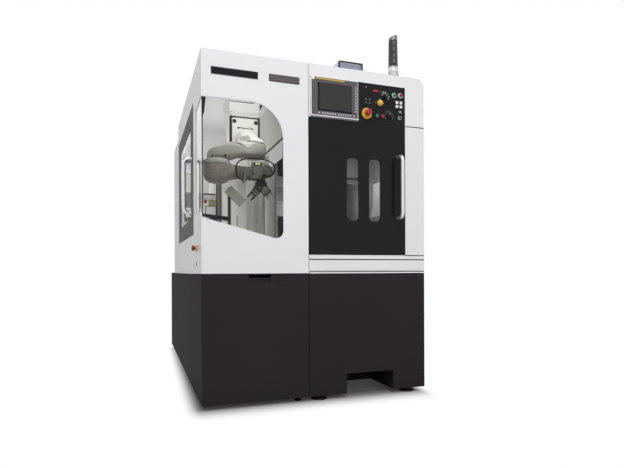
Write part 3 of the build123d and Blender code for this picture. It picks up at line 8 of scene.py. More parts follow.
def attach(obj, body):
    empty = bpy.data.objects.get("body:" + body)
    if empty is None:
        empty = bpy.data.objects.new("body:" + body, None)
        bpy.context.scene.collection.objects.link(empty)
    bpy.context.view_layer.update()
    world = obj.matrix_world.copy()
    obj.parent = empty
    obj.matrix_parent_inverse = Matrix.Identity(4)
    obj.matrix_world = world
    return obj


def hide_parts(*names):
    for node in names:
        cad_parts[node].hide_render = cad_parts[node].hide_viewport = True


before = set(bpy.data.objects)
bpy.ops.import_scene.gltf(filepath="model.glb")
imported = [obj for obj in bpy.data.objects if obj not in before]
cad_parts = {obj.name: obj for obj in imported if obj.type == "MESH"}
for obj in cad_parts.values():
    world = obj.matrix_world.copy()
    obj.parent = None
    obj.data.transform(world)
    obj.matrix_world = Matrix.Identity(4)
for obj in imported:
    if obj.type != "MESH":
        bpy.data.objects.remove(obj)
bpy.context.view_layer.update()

# Pieces are laid out in millimetres: x from the left side, y from the front, z from the base's underside.
MM = 0.001
LAYOUT_CORNER = Vector((-633.0, -1145.5, 25.0))
ACROSS, DEEP, UP = Vector((1, 0, 0)), Vector((0, 1, 0)), Vector((0, 0, 1))
FORWARD = (0, -1, 0)
ORIGIN = (0, 0)

scene = bpy.context.scene
scene.view_settings.view_transform = "Standard"


def new_object(name, data):
    """A new object in the scene."""
    item = bpy.data.objects.new(name, data)
    scene.collection.objects.link(item)
    return item


def in_metres(layout):
    """A layout place in the frame's metres."""
    return (Vector(layout) + LAYOUT_CORNER) * MM


# ---- finishes

NOISE_LOW, NOISE_HIGH = 0.3, 0.7  # most of a noise texture lies between these
FILM_PER_METRE, FILM_GLOSS = 12, 0.015  # wiped film on a pane: patches in a metre, gloss they take


def linear(code):
    """An sRGB hex colour as linear RGBA."""
    parts = [int(code[i:i + 2], 16) / 255 for i in (1, 3, 5)]
    return [c / 12.92 if c <= 0.04045 else ((c + 0.055) / 1.055) ** 2.4 for c in parts] + [1.0]


def add(tree, kind, inputs=None, **settings):
    """Adds a shader node with its settings; an input is a value, or the socket that feeds it."""
    made = tree.nodes.new("ShaderNode" + kind)
    for key, value in settings.items():
        setattr(made, key, value)
    for key, value in (inputs or {}).items():
        if isinstance(value, bpy.types.NodeSocket):
            tree.links.new(value, made.inputs[key])
        else:
            made.inputs[key].default_value = value
    return made


def new_material(name):
    """A new material with its node tree and its main shader."""
    material = bpy.data.materials.new(name)
    material.use_nodes = True
    return material, material.node_tree, material.node_tree.nodes["Principled BSDF"]


def finish(name, colour, worn, rough, grain_mm=2, stretch=(1, 1, 1), drift_m=0.5, bump=0, bump_mm=0.3, metal=0,
           mirror=0.5):
    """A surface: its colour drifts between two tones, its gloss and bump follow one grain."""
    material, tree, shader = new_material(name)
    place = add(tree, "TexCoord").outputs["Object"]
    along = add(tree, "Mapping", {"Vector": place, "Scale": stretch}).outputs["Vector"]
    grain = add(tree, "TexNoise", {"Vector": along, "Scale": 1000 / grain_mm, "Detail": 3}).outputs["Fac"]
    drift = add(tree, "TexNoise", {"Vector": place, "Scale": 1 / drift_m, "Detail": 2}).outputs["Fac"]
    tone = add(tree, "Mix", {"Factor": drift, "A": linear(colour), "B": linear(worn)}, data_type="RGBA")
    gloss = add(tree, "MapRange", {
        "Value": grain, "From Min": NOISE_LOW, "From Max": NOISE_HIGH, "To Min": rough[0], "To Max": rough[1]})
    tree.links.new(tone.outputs["Result"], shader.inputs["Base Color"])
    tree.links.new(gloss.outputs["Result"], shader.inputs["Roughness"])
    if bump:
        relief = add(tree, "Bump", {"Height": grain, "Strength": bump, "Distance": bump_mm * MM})
        tree.links.new(relief.outputs["Normal"], shader.inputs["Normal"])
    shader.inputs["Metallic"].default_value = metal
    shader.inputs["Specular IOR Level"].default_value = mirror
    return material


# Powder-coated sheet: a soft even gloss over a faint orange peel, drawn at 6 mm so that it shows.
white_coat = finish("powder_coated_steel_white", "#e4e4e6", "#dddde0", (0.3, 0.42), 6, bump=0.05, mirror=0.2)
# The same coat in charcoal: a fine sand texture breaks up reflections.
base_coat = finish("textured_powder_coat_charcoal", "#312d2f", "#2b2729", (0.55, 0.7), 2.5, bump=0.12, mirror=0.012)
# Stoved enamel: deep black with a clean, slightly wavy mirror, waves about 90 mm long.
black_enamel = finish("stoved_enamel_black", "#191818", "#151414", (0.1, 0.2), 90, bump=0.03, bump_mm=1.5, mirror=0.15)
# Brushed stainless sheet: upright brush lines about 1 mm apart, drawn at 2 mm.
stainless = finish("brushed_stainless_sheet", "#e0e0dc", "#d6d6d2", (0.4, 0.55), 2, (1, 1, 0.02), 0.3, bump=0.05,
                   metal=0.5)
# Bright-rolled stainless: a soft mirror, striped light and dark by the wall's waves.
wall_sheet = finish("bright_stainless_sheet", "#d2d2cd", "#c6c6c1", (0.34, 0.44), 40, metal=1)
# Blackened steel: dull, with a trace of blue.
dark_steel = finish("blackened_steel", "#3b3b3d", "#303032", (0.4, 0.55), 4, bump=0.04, metal=0.6)
# Machine enamel on cast iron: pale grey, flowed out smooth over a slightly uneven casting.
machine_enamel = finish("enamelled_cast_iron_pale", "#a3a5a4", "#989a99", (0.3, 0.42), 25, bump=0.06, bump_mm=1)
# Chrome: a sharp mirror with faint polishing lines.
chrome = finish("polished_chrome_tube", "#e2e2e4", "#d6d6d9", (0.07, 0.16), 1.5, (1, 1, 0.03), 0.2, metal=1)
# Satin stainless tube: a broad soft highlight along the handle.
satin_tube = finish("satin_stainless_tube", "#e0e0e2", "#d4d4d7", (0.3, 0.42), 1.5, (1, 1, 0.03), 0.2, metal=0.85)
# Moulded ABS in dark grey: low sheen, fine spark-eroded texture drawn at 2 mm.
bezel_abs = finish("moulded_abs_grey", "#4b444a", "#453f45", (0.42, 0.55), bump=0.06)
# Painted castings: one gloss paint with faint undulation, in lit and shaded copies. The clean white on the foot, the
# shoulder and the arm's dip is painted light; the warm grey of the arm is partly painted shade; the browner covers
# under the elbow and the mid grey of the forearm are painted shade. On the dial ticks and the right gripper the mid
# grey is plain paint.
casting_grey_and_shade = finish("warm_grey_casting_and_painted_shade", "#abaaa5", "#a1a09b", (0.18, 0.28), 40, bump=0.05, bump_mm=1.5)
elbow_shade_taupe = finish("taupe_cover_painted_shade", "#96908b", "#8c8681", (0.24, 0.34), 40, bump=0.04, bump_mm=1.5)
lit_casting_white = finish("casting_white_painted_light", "#e2e2e0", "#d8d8d6", (0.34, 0.46), 40, bump=0.05, bump_mm=1.5)
grey_paint_and_forearm_shade = finish("mid_grey_with_painted_forearm_shade", "#74736e", "#696863", (0.3, 0.42), 40, bump=0.05, bump_mm=1.5)
# Tool steel: black oxide with machining marks about 2 mm apart, and bright with grinding lines drawn at 1.5 mm.
gripper_steel = finish("black_oxide_tool_steel", "#383633", "#2c2a28", (0.4, 0.55), 2, (1, 0.1, 1), 0.08, bump=0.06,
                       metal=0.5, mirror=0.2)
steel = finish("ground_tool_steel", "#a9a8a5", "#98978f", (0.2, 0.34), 1.5, (1, 0.05, 1), 0.1, bump=0.04, metal=1)
# Zinc plate on bar and hatch: even pale grey with a slight green cast and hardly any mirror.
zinc_bar = finish("zinc_plated_steel_bar", "#9a9e97", "#8f938c", (0.45, 0.6), 3, bump=0.04, metal=0.25)
# Olive machine paint on the passage's small bars: dull and even.
olive_paint = finish("olive_painted_steel_bar", "#938b69", "#877f5f", (0.45, 0.6), 5, bump=0.04)
# Black moulded nylon, also for gaskets and screw heads: dull, with a fine moulded texture.
nylon = finish("moulded_nylon_black", "#171618", "#121113", (0.4, 0.55), 1.5, bump=0.05, mirror=0.25)
# Coloured and white mouldings: even colour and a soft gloss, duller on the grey keycaps.
red_nylon = finish("moulded_nylon_red", "#9c1c26", "#8e1822", (0.25, 0.36))
green_nylon = finish("moulded_nylon_green", "#16905c", "#127f50", (0.25, 0.36))
yellow_nylon = finish("moulded_nylon_yellow", "#ebbd42", "#deaf38", (0.28, 0.4))
white_abs = finish("moulded_abs_white", "#eeeeef", "#e5e5e7", (0.3, 0.42))
key_grey = finish("moulded_keycap_pale_grey", "#b9b4b8", "#aea9ad", (0.4, 0.5))
# Lenses: deep colour under a clean gloss, and a warm yellow one with its lamp on.
lens_red = finish("tinted_lens_red", "#8e1c26", "#7c1821", (0.2, 0.3))
lens_green = finish("tinted_lens_green", "#0f7447", "#0c653d", (0.2, 0.3))
lamp_yellow = finish("lit_polycarbonate_yellow", "#ffe9a0", "#ffe08a", (0.2, 0.3))
lamp_shader = lamp_yellow.node_tree.nodes["Principled BSDF"]
lamp_shader.inputs["Emission Color"].default_value = linear("#ffe7a0")
lamp_shader.inputs["Emission Strength"].default_value = 1.2
# Printed stripe on the monitor: flat ochre ink.
stripe_yellow = finish("printed_stripe_ochre", "#d2b23a", "#c6a630", (0.4, 0.5), 6)
# Vitrified alumina: pale rose grit about 0.4 mm, drawn at 1.2 mm.
abrasive = finish("vitrified_alumina_grit", "#e6d2cd", "#d6bcb6", (0.75, 0.95), 1.2, bump=0.4)
# Powder coat on the roof unit: pale outside, blue grey on its louvres.
roof_coat = finish("powder_coated_steel_pale_grey", "#dddfe6", "#d2d4db", (0.35, 0.5), 5, bump=0.05)
louvre_coat = finish("powder_coated_steel_blue_grey", "#a7acc6", "#9ba0ba", (0.3, 0.45), 5, bump=0.05)
# Hard-coated display glass: dark, with a soft mirror.
screen_glass = finish("display_glass_dark", "#2b2927", "#262423", (0.12, 0.2), 60, mirror=0.35)
# PVC cable jacket: black and slightly waxy.
cable_pvc = finish("pvc_cable_jacket", "#0f0f10", "#0b0b0c", (0.5, 0.6), 1.5, bump=0.04, mirror=0.15)
# Ceramic ink on the back of the side pane: dark plum grey, dull under the glass.
printed_border = finish("ceramic_ink_plum_grey", "#5b545b", "#524c53", (0.45, 0.6), 30, mirror=0.05)


def clear(name, colour, roughness, weight=1, ior=1.45):
    """Clear sheet with a faint wiped film; lamps shine through it."""
    material, tree, shader = new_material(name)
    shader.inputs["Base Color"].default_value = linear(colour)
    shader.inputs["Transmission Weight"].default_value = weight
    shader.inputs["IOR"].default_value = ior
    place = add(tree, "TexCoord").outputs["Object"]
    film = add(tree, "TexNoise", {"Vector": place, "Scale": FILM_PER_METRE, "Detail": 2}).outputs["Fac"]
    gloss = add(tree, "MapRange", {"Value": film, "To Min": roughness, "To Max": roughness + FILM_GLOSS})
    tree.links.new(gloss.outputs["Result"], shader.inputs["Roughness"])
    shadow = add(tree, "LightPath").outputs["Is Shadow Ray"]
    through = add(tree, "BsdfTransparent", {"Color": [sqrt(c) for c in linear(colour)]})
    both = add(tree, "MixShader", {0: shadow, 1: shader.outputs[0], 2: through.outputs[0]})
    tree.links.new(both.outputs[0], tree.nodes["Material Output"].inputs["Surface"])
    return material


# Coated sheet in the cell's window: a slight grey tint and only a weak mirror, so the cell stays in plain view.
clear_pane = clear("clear_polycarbonate", "#d6d6d1", 0, ior=1.2)
# The side door's sheet, coated against glare: the same tint with hardly any mirror.
side_clear = clear("clear_polycarbonate_coated", "#d6d6d1", 0, ior=1.01)
# Thinner sheet in the operator door: paler, with the same weak mirror.
door_clear = clear("clear_polycarbonate_thin", "#e8e8e4", 0, ior=1.2)
# Smoked lens of the signal tower: dark grey, with its boards faintly seen inside.
smoked_lens = clear("smoked_polycarbonate", "#78787b", 0.03, 0.95)


# ---- building pieces

PLANES = {"x": (DEEP, UP, ACROSS), "y": (ACROSS, UP, DEEP), "z": (ACROSS, DEEP, UP)}
ROUND_STEPS = 36
SHARP_FROM = radians(32)


def facing(point, direction):
    """A workbench at a point: its own -y axis looks along direction."""
    turn = Vector(FORWARD).rotation_difference(Vector(direction)).to_matrix().to_4x4()
    return Matrix.Translation(Vector(point)) @ turn


def tilted(place, degrees, axis):
    """A workbench at a place, turned about an axis through it."""
    return Matrix.Translation(place) @ Matrix.Rotation(radians(degrees), 4, axis)


def placed(axis, centre, points, at):
    """A flat outline round a centre, set at a place along the axis."""
    across, rise, along = PLANES[axis]
    return [across * (centre[0] + a) + rise * (centre[1] + b) + along * at for a, b in points]


class Piece:
    """A piece skinned over outlines in layout millimetres, with a finish for each surface."""

    def __init__(self, name, body, slot, *nodes, bench=Matrix()):
        self.mesh, self.finishes, self.bench = bmesh.new(), [], bench
        self.name, self.body, self.slot, self.nodes = name, body, slot, nodes

    def __enter__(self):
        return self

    def __exit__(self, *trouble):
        """Finishes the piece as an object in the frame, on its body, in place of CAD nodes."""
        for vertex in self.mesh.verts:
            vertex.co = in_metres(vertex.co)
        mesh = bpy.data.meshes.new(self.name)
        self.mesh.to_mesh(mesh)
        self.mesh.free()
        mesh.set_sharp_from_angle(angle=SHARP_FROM)
        for material in self.finishes:
            mesh.materials.append(material)
        item = new_object(self.name, mesh)
        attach(item, self.body)
        if self.nodes:
            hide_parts(*self.nodes)

    def skin(self, material, outlines, shut=(True, True), loop=False):
        """Joins outlines of equal point counts in turn and shuts the ends."""
        if material not in self.finishes:
            self.finishes.append(material)
        rows = [[self.mesh.verts.new(self.bench @ point) for point in outline] for outline in outlines]
        faces = []
        for low, high in zip(rows, rows[1:] + rows[:1] if loop else rows[1:]):
            for i in range(len(low)):
                faces.append(self.mesh.faces.new((low[i - 1], low[i], high[i], high[i - 1])))
        for end, closed in zip((rows[0][::-1], rows[-1]), shut):
            if closed and not loop:
                faces.append(self.mesh.faces.new(end))
        for face in faces:
            face.material_index, face.smooth = self.finishes.index(material), True
        bmesh.ops.recalc_face_normals(self.mesh, faces=faces)

    def stack(self, material, axis, centre, layers, loop=False):
        """Skins layers round a centre; each is a flat outline and its place along the axis."""
        self.skin(material, [placed(axis, centre, points, at) for points, at in layers], loop=loop)

    def slab(self, material, axis, points, start, end, centre=ORIGIN):
        """A flat form cut to an outline."""
        self.stack(material, axis, centre, [(points, start), (points, end)])

    def turned(self, material, axis, centre, profile, steps=ROUND_STEPS, loop=False):
        """A turned form: the profile lists radius and place along the axis."""
        self.stack(material, axis, centre, [(circle(r, steps), at) for r, at in profile], loop)

    def collar(self, material, axis, centre, profile):
        """A turned ring: the profile goes round its section, and the middle stays open."""
        self.turned(material, axis, centre, profile, loop=True)

    def plate(self, material, axis, centre, size, start, end, corner=1, edge=0.5):
        """A plate with rounded corners, its edges broken on the end face."""
        lift = edge if end > start else -edge
        tight = [v - 2 * edge for v in size]
        layers = [(size, corner, start), (size, corner, end - lift), (tight, max(corner - edge, 0.05), end)]
        self.stack(material, axis, centre, [(oblong(*wh, r), at) for wh, r, at in layers])

    def plates(self, *rows):
        """Several plates, each a row of what plate takes."""
        for row in rows:
            self.plate(*row)

    def rim(self, material, axis, centre, outer, inner, start, end, corner=3, hole=2, edge=0.8, slope=0):
        """A flat frame; slope widens its opening towards the end face."""
        out = 1 if end > start else -1
        tight, wide = [v - 2 * edge for v in outer], [v + 2 * slope for v in inner]
        layers = [(outer, corner, start), (outer, corner, end - out * edge), (tight, corner, end),
                  (wide, hole + slope, end), (inner, hole, end - out * (slope or edge)), (inner, hole, start)]
        self.stack(material, axis, centre, [(oblong(*wh, r), at) for wh, r, at in layers], True)

    def screw(self, material, place, radius, direction=FORWARD):
        """A socket-head screw that stands on a face, with its hexagon recess."""
        kept, self.bench = self.bench, self.bench @ facing(place, direction)
        head, rim, recess = 0.9 * radius, circle(radius), six_sided(0.55 * radius)
        self.stack(material, "y", ORIGIN, [
            (rim, 0), (rim, -0.85 * head), (circle(0.88 * radius), -head), (recess, -head), (recess, -0.4 * head)])
        self.bench = kept

    def screws(self, material, xs, zs, y, radius):
        """Screws that look forward, one at each crossing of the xs and zs."""
        for x in xs:
            for z in zs:
                self.screw(material, (x, y, z), radius)


def around(degrees):
    """The point of a unit circle at an angle."""
    return cos(radians(degrees)), sin(radians(degrees))


def circle(radius, steps=ROUND_STEPS):
    turns = [2 * pi * i / steps for i in range(steps)]
    return [(radius * cos(t), radius * sin(t)) for t in turns]


def six_sided(radius):
    """A hexagon with a circle's point count, so that the two can be joined."""
    points = []
    for a, b in circle(1):
        reach = radius * cos(pi / 6) / cos(atan2(b, a) % (pi / 3) - pi / 6)
        points.append((reach * a, reach * b))
    return points


def pillow(half_width, half_height, squareness):
    """A closed curve between an ellipse (2) and a rectangle (high numbers), as castings have."""
    power = 2 / squareness
    return [(half_width * copysign(abs(a) ** power, a), half_height * copysign(abs(b) ** power, b))
            for a, b in circle(1, 48)]


def blend(stations, at):
    """The value at a place between (place, value) stations, eased from each one to the next."""
    for (a, low), (b, high) in zip(stations, stations[1:]):
        if at <= b:
            t = max(0.0, (at - a) / (b - a))
            return low + (high - low) * t * t * (3 - 2 * t)
    return stations[-1][1]


CORNER_STEPS = 5


def eased(corners, radius):
    """A polygon whose corners are eased over a radius."""
    points = []
    for i, corner in enumerate(corners):
        beside = corners[i - 1], corners[(i + 1) % len(corners)]
        first, last = [corner + (other - corner).normalized() * radius for other in beside]
        for k in range(CORNER_STEPS + 1):
            s = k / CORNER_STEPS
            points.append(first * (1 - s) ** 2 + corner * 2 * s * (1 - s) + last * s * s)
    return points


def oblong(width, height, corner):
    """A rectangle with rounded corners."""
    points = []
    for i, (sx, sy) in enumerate(((1, 1), (-1, 1), (-1, -1), (1, -1))):
        for k in range(CORNER_STEPS + 1):
            turn = pi / 2 * (i + k / CORNER_STEPS)
            points.append((sx * (width / 2 - corner) + corner * cos(turn),
                           sy * (height / 2 - corner) + corner * sin(turn)))
    return points


# ---- nodes kept from the CAD model

WELD_GAP, EDGE_WIDTH = 0.02 * MM, 1.2 * MM
FLAT_WITHIN, EDGE_FROM = radians(2), radians(35)


def dress(node, material):
    """Gives a CAD node its finish and broken edges."""
    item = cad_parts[node]
    item.data.materials.clear()
    item.data.materials.append(material)
    item.modifiers.new("weld", "WELD").merge_threshold = WELD_GAP
    flat = item.modifiers.new("flat_faces", "DECIMATE")
    flat.decimate_type, flat.angle_limit = "DISSOLVE", FLAT_WITHIN
    edge = item.modifiers.new("broken_edges", "BEVEL")
    edge.width, edge.segments, edge.limit_method = EDGE_WIDTH, 2, "ANGLE"
    edge.angle_limit, edge.use_clamp_overlap = EDGE_FROM, True
    item.modifiers.new("even_shading", "WEIGHTED_NORMAL").keep_sharp = True


KEPT = {
    white_coat: ("cell_front_panel cell_roof rear_cabinet side_door cabinet_door grinder_front_frame "
                 "grinder_cover cell_floor robot_mount"),
    base_coat: "cell_base grinder_base base_drawer",
    black_enamel: "operator_door control_panel",
    stainless: "partition",
    zinc_bar: "hatch_door",
    machine_enamel: "machine_column x_saddle wheel_head",
    satin_tube: "door_handle side_door_handle",
    clear_pane: "cell_windows",
    door_clear: "door_windows",
    gripper_steel: "gripper_body robot_wrist",
}
for material, nodes in KEPT.items():
    for node in nodes.split():
        dress(node, material)


# ---- monitor

MONITOR_FACE = Matrix.Translation((0, -8, 0))

# Grey bezel in a pale rim, sunk screen, soft keys, plain stripe, blank cap, ledge below.
middle, screen, outer, inner = (741, 1670.5), (749, 1678.5), (286, 222), (280, 216)
with Piece("monitor_unit", "frame", "bezel_grey", "monitor", bench=MONITOR_FACE) as unit:
    unit.rim(white_abs, "y", middle, outer, inner, 14, 0.6)
    unit.rim(bezel_abs, "y", middle, inner, (206, 156), 14, 0, 2.5, 3, slope=2)
    unit.plate(bezel_abs, "y", middle, (246, 182), 98, 14, 4)
    unit.rim(nylon, "y", screen, (208, 158), (198, 148), 10, 3, 3, 3)
    unit.plate(screen_glass, "y", screen, (199, 149), 10, 4.2, 3, 0.4)
    bottom = [645] + [667 + 15 * i for i in range(6)] + [763 + 14.6 * i for i in range(6)] + [857]
    for key in [(x, 1579.5) for x in bottom] + [(868.5, 1607 + 17 * i) for i in range(9)]:
        unit.plate(key_grey, "y", key, (9, 10), 0.5, -1.5, 1.8, 0.7)
    unit.plates(
        (stripe_yellow, "y", (714, 1770.5), (172, 6), 0.5, -0.8, 1, 0.3),
        (white_abs, "y", (610, 1769.5), (15, 15), 0.5, -1.5, 2.5, 0.7),
        (white_abs, "z", (741, -1), (286, 14), 1559.5, 1564.5, 1, 0.8))


# ---- switch panel

PANEL_FACE = Matrix.Translation((0, 2, 0))
ESTOP, SIDE_ESTOP = (941, 1607), (195, 827)
RING_BUTTONS = {"green_ring_button": (1122, 1732), "red_ring_button": (1163, 1735)}
LAMP_BUTTONS = {"green_lamp_button": (1006, 1598), "red_lamp_button": (1042, 1599)}
WHITE_BUTTONS = {"white_button_1": (1137, 1691), "white_button_2": (1163.5, 1691), "white_button_3": (1137, 1667.5),
                 "white_button_4": (1163.5, 1667.5)}
SELECTOR, MODE, OVERRIDE, KEY = (1026, 1677), (1062, 1717), (1087, 1608), (1155, 1601)


def dial_ticks(unit, material, centre, radius, turns, length, width):
    """Tick marks round a dial, at angles in degrees from straight up."""
    face = unit.bench
    for turn in turns:
        unit.bench = face @ tilted((centre[0], 0, centre[1]), turn, "Y")
        unit.plate(material, "y", (0, radius + length / 2), (width, length), 0, -1.3, 0.3, 0.1)
    unit.bench = face


# What stays still on the switch panel and on the cell's front and side.
with Piece("panel_fittings_set", "frame", "fitting_black", "panel_fittings", bench=PANEL_FACE) as unit:
    unit.collar(yellow_nylon, "y", ESTOP, [
        (31, 0), (31, -4), (29.5, -9), (27, -10.5), (24, -10), (21, -6), (12, -4), (10, -3.5), (10, 0)])
    ring = [(11.4, 0), (15, 0), (15, -3), (13.6, -6.5), (12.2, -7), (11.4, -6)]
    for material, places in ((white_abs, RING_BUTTONS), (nylon, LAMP_BUTTONS)):
        for place in places.values():
            unit.collar(material, "y", place, ring)
    for place in WHITE_BUTTONS.values():
        unit.rim(nylon, "y", place, (21, 21), (18, 18), 0, -2, 3, 2.4, 0.4)
    unit.collar(nylon, "y", SELECTOR, [(5, 0), (21, 0), (21, -0.9), (20.4, -1.2), (5, -1.2)])
    unit.collar(nylon, "y", KEY, [(5, 0), (16, 0), (16, -1.2), (14.5, -2), (12, -1.2), (5, -1.2)])
    unit.collar(nylon, "y", OVERRIDE, [(23.5, 0), (31, 0), (31, -0.5), (30.4, -0.8), (24.1, -0.8), (23.5, -0.5)])
    dial_ticks(unit, grey_paint_and_forearm_shade, OVERRIDE, 24.5, range(-135, 136, 18), 6, 2)
    dial_ticks(unit, white_abs, MODE, 18, (-60, -25, 10, 45, 80, 115), 8, 3)
    dial_ticks(unit, white_abs, SELECTOR, 23, (-90, 0, 90), 4, 1.8)
    unit.plate(red_nylon, "y", (1000, 1745), (34, 12), 0, -2.4, 2, 0.8)
    for i, material in enumerate((red_nylon, green_nylon, key_grey, key_grey)):
        unit.turned(material, "y", (1029 + 11 * i, 1744), [(3.4, 0), (3.4, -1.4), (2.2, -2.6)], 16)
    unit.turned(key_grey, "y", (938, 1760), [(3.2, 0), (3.2, -1.2), (2, -2)], 16)
    unit.plate(nylon, "y", (948, 1680), (40, 36), 0, -2, 4, 0.8)
    unit.screws(key_grey, (935, 961), (1669, 1691), -1.6, 2.6)
    unit.plate(bezel_abs, "y", (1161, 1638), (18, 14), 0, -2, 1.5)
    for i in range(3):
        unit.plate(key_grey, "y", (1155.5 + 5.5 * i, 1638), (3.6, 10), -1.6, -2.8, 0.6, 0.3)
    unit.screws(nylon, (895, 1185), (1566, 1775), 0, 3.2)
    unit.bench = Matrix()
    for x, width, ground, border in ((175, 250, black_enamel, bezel_abs), (446, 172, bezel_abs, black_enamel)):
        unit.plate(ground, "y", (x, 1742), (width, 40), 0, -1.6, 2, 0.6)
        unit.rim(border, "y", (x, 1742), (width - 3, 37), (width - 7, 33), -1, -2, 1.5, 1, 0.2)
    unit.collar(yellow_nylon, "x", SIDE_ESTOP, [
        (19.5, 0), (19.5, -4), (18.4, -8), (16.5, -9.4), (14, -9), (12.4, -6), (11, -4.5), (11, 0)])
    unit.plate(nylon, "x", (222, 739), (12, 22), 0, -2, 3, 0.7)
    unit.plate(steel, "x", (222, 739), (2.4, 12), -1.5, -2.8, 0.8, 0.3)

MUSHROOM = [(9, 22), (9, -22), (15, -22), (18.5, -23), (20, -26), (20, -31), (18.6, -34.6), (15.5, -36.8), (10, -38),
            (4, -37.6)]
SMALL_MUSHROOM = [(max(0.8 * r, 10), at if at > 0 else 0.8 * at) for r, at in MUSHROOM]
DISHED_CAP = [(5, 22), (5, -2.4), (10.8, -2.4), (10.8, -9.2), (9.8, -10.8), (8.8, -11), (7.6, -10), (3, -9.6)]
DOMED_LENS = [(5, 22), (5, -2.4), (10.8, -2.4), (10.8, -8.2), (9.6, -10), (6.5, -11), (2, -11)]
KNOB_POINTS, FLUTES = 72, 12


def make_knob(name, place, radius, material, turn, slot):
    """A turning knob: skirt, fluted body, finger grip across it and a white pointer line."""
    with Piece(name + "_grip", name, slot, name) as knob:
        knob.turned(material, "y", place, [(4, 22), (4, 1.6), (radius, 1.6), (radius, -3), (radius * 0.9, -5)])
        turns = [2 * pi * i / KNOB_POINTS for i in range(KNOB_POINTS)]
        reach = [radius * (0.86 + 0.045 * cos(FLUTES * t)) for t in turns]
        fluted = [(r * cos(t), r * sin(t)) for r, t in zip(reach, turns)]
        drawn_in = [(0.93 * a, 0.93 * b) for a, b in fluted]
        knob.stack(material, "y", place, [(fluted, -4), (fluted, -11.5), (drawn_in, -13.2)])
        knob.bench = tilted((place[0], 0, place[1]), turn, "Y")
        knob.plate(material, "y", ORIGIN, (radius * 0.42, radius * 1.5), -12.5, -18.2, radius * 0.18, 1.4)
        knob.plate(white_abs, "y", (0, radius * 0.42), (1.6, radius * 0.5), -17.8, -18.4, 0.4, 0.1)


# Each control that moves, on its own body.
for name, node, material, axis, place, profile in (
        ("estop_mushroom", "estop_button", red_nylon, "y", ESTOP, MUSHROOM),
        ("side_estop_mushroom", "side_estop_button", lens_red, "x", SIDE_ESTOP, SMALL_MUSHROOM)):
    with Piece(name, node, "signal_red", node) as button:
        button.turned(material, axis, place, profile)
for places, profile in ((RING_BUTTONS, DISHED_CAP), (LAMP_BUTTONS, DOMED_LENS)):
    for name, place in places.items():
        green = name.startswith("green")
        with Piece(name + "_cap", name, "signal_green" if green else "signal_red", name) as button:
            button.turned(lens_green if green else lens_red, "y", place, profile)
for name, place in WHITE_BUTTONS.items():
    with Piece(name + "_cap", name, "button_white", name) as button:
        button.turned(nylon, "y", place, [(5, 22), (5, -3)])
        button.plate(white_abs, "y", place, (16.8, 16.8), -2.4, -5, 2, 0.9)
        button.rim(key_grey, "y", place, (11, 11), (9, 9), -4.4, -5, 1.5, 1, 0.1)
make_knob("selector_knob", SELECTOR, 17, yellow_nylon, -80, "knob_yellow")
make_knob("mode_dial", MODE, 15, nylon, 25, "fitting_black")
make_knob("override_dial", OVERRIDE, 21, nylon, -40, "fitting_black")
with Piece("key_barrel", "key_switch", "handle_chrome", "key_switch") as barrel:
    barrel.turned(chrome, "y", KEY, [(4, 22), (4, 1), (11, 1.6), (11, -6), (10, -7.5), (8.6, -7.8), (8.2, -7)])
    barrel.turned(nylon, "y", KEY, [(8.2, -6.6), (8.2, -7.4), (3, -7.2)])
    barrel.plate(steel, "x", (-11, KEY[1]), (12, 7.5), KEY[0] - 0.9, KEY[0] + 0.9, 2.5, 0.3)


# ---- cell, roof and grinder fittings

TOWER_FOOT = Matrix.Translation((1147, 60, 1850))

# The side door's pane: clear in the middle, dark printed border round it.
with Piece("side_pane", "side_door", "clear_glass", "side_window") as pane:
    pane.rim(printed_border, "x", (901.5, 1299.5), (1059, 771), (749, 560), 5.4, 0.2, 4, 18, 0.4)
    pane.plate(side_clear, "x", (926.5, 1300), (790, 600), 5.9, 5.5, 4, 0.1)

# White sheet pedestal, slotted in front, with cover plates; the dark grey plate on its left side is painted shade, and
# the stainless plate on its front's right part is partly painted shade. The tilted bar stands on its boss.
with Piece("pedestal_with_bar", "frame", "white_paint", "workpiece_stand") as stand:
    low, top, left, right, front, rear, sheet = 692, 1308, 220, 381, 700, 860, 4
    mid_z, tall, under_lid = (low + top) / 2, top - low, top - sheet
    stand.plates(
        (white_coat, "x", (780, mid_z), (160, tall), left + sheet, left, 2, 1),
        (white_coat, "x", (780, mid_z), (160, tall), right - sheet, right, 2, 1),
        (white_coat, "y", (300.5, mid_z), (153, tall), rear - sheet, rear, 2, 1),
        (white_coat, "z", (300.5, 780), (161, 160), under_lid, top, 2, 1))
    for x0, x1, z0, z1 in (
            (224, 257, low, under_lid), (279, 377, low, under_lid), (257, 279, low, 760), (257, 279, 1240, under_lid)):
        stand.plate(white_coat, "y", ((x0 + x1) / 2, (z0 + z1) / 2), (x1 - x0, z1 - z0), front + sheet, front, 0.3, 0.2)
    stand.plates(
        (dark_steel, "y", (268, 1000), (40, 500), front + 40, front + 36, 2, 1),
        # Brushed stainless on the right of the front: real metal, its grey partly painted shade.
        (stainless, "y", (351.5, mid_z), (57, tall - 8), front, front - 1.5),
        (nylon, "y", (319.5, 1038), (5, 76), front, front - 1, 2, 0.3),
        # Dark grey plate on the left side: painted shade.
        (bezel_abs, "x", (790, 1000), (132, 590), left, left - 5, 2, 1))
    stand.bench = tilted((305, 0, 1197), 43.6, "Y")
    stand.plate(zinc_bar, "y", ORIGIN, (138, 62), front - 12, front - 20, 1.2, 1.2)
    stand.turned(steel, "y", ORIGIN, [(14, front), (14, front - 12.5)])

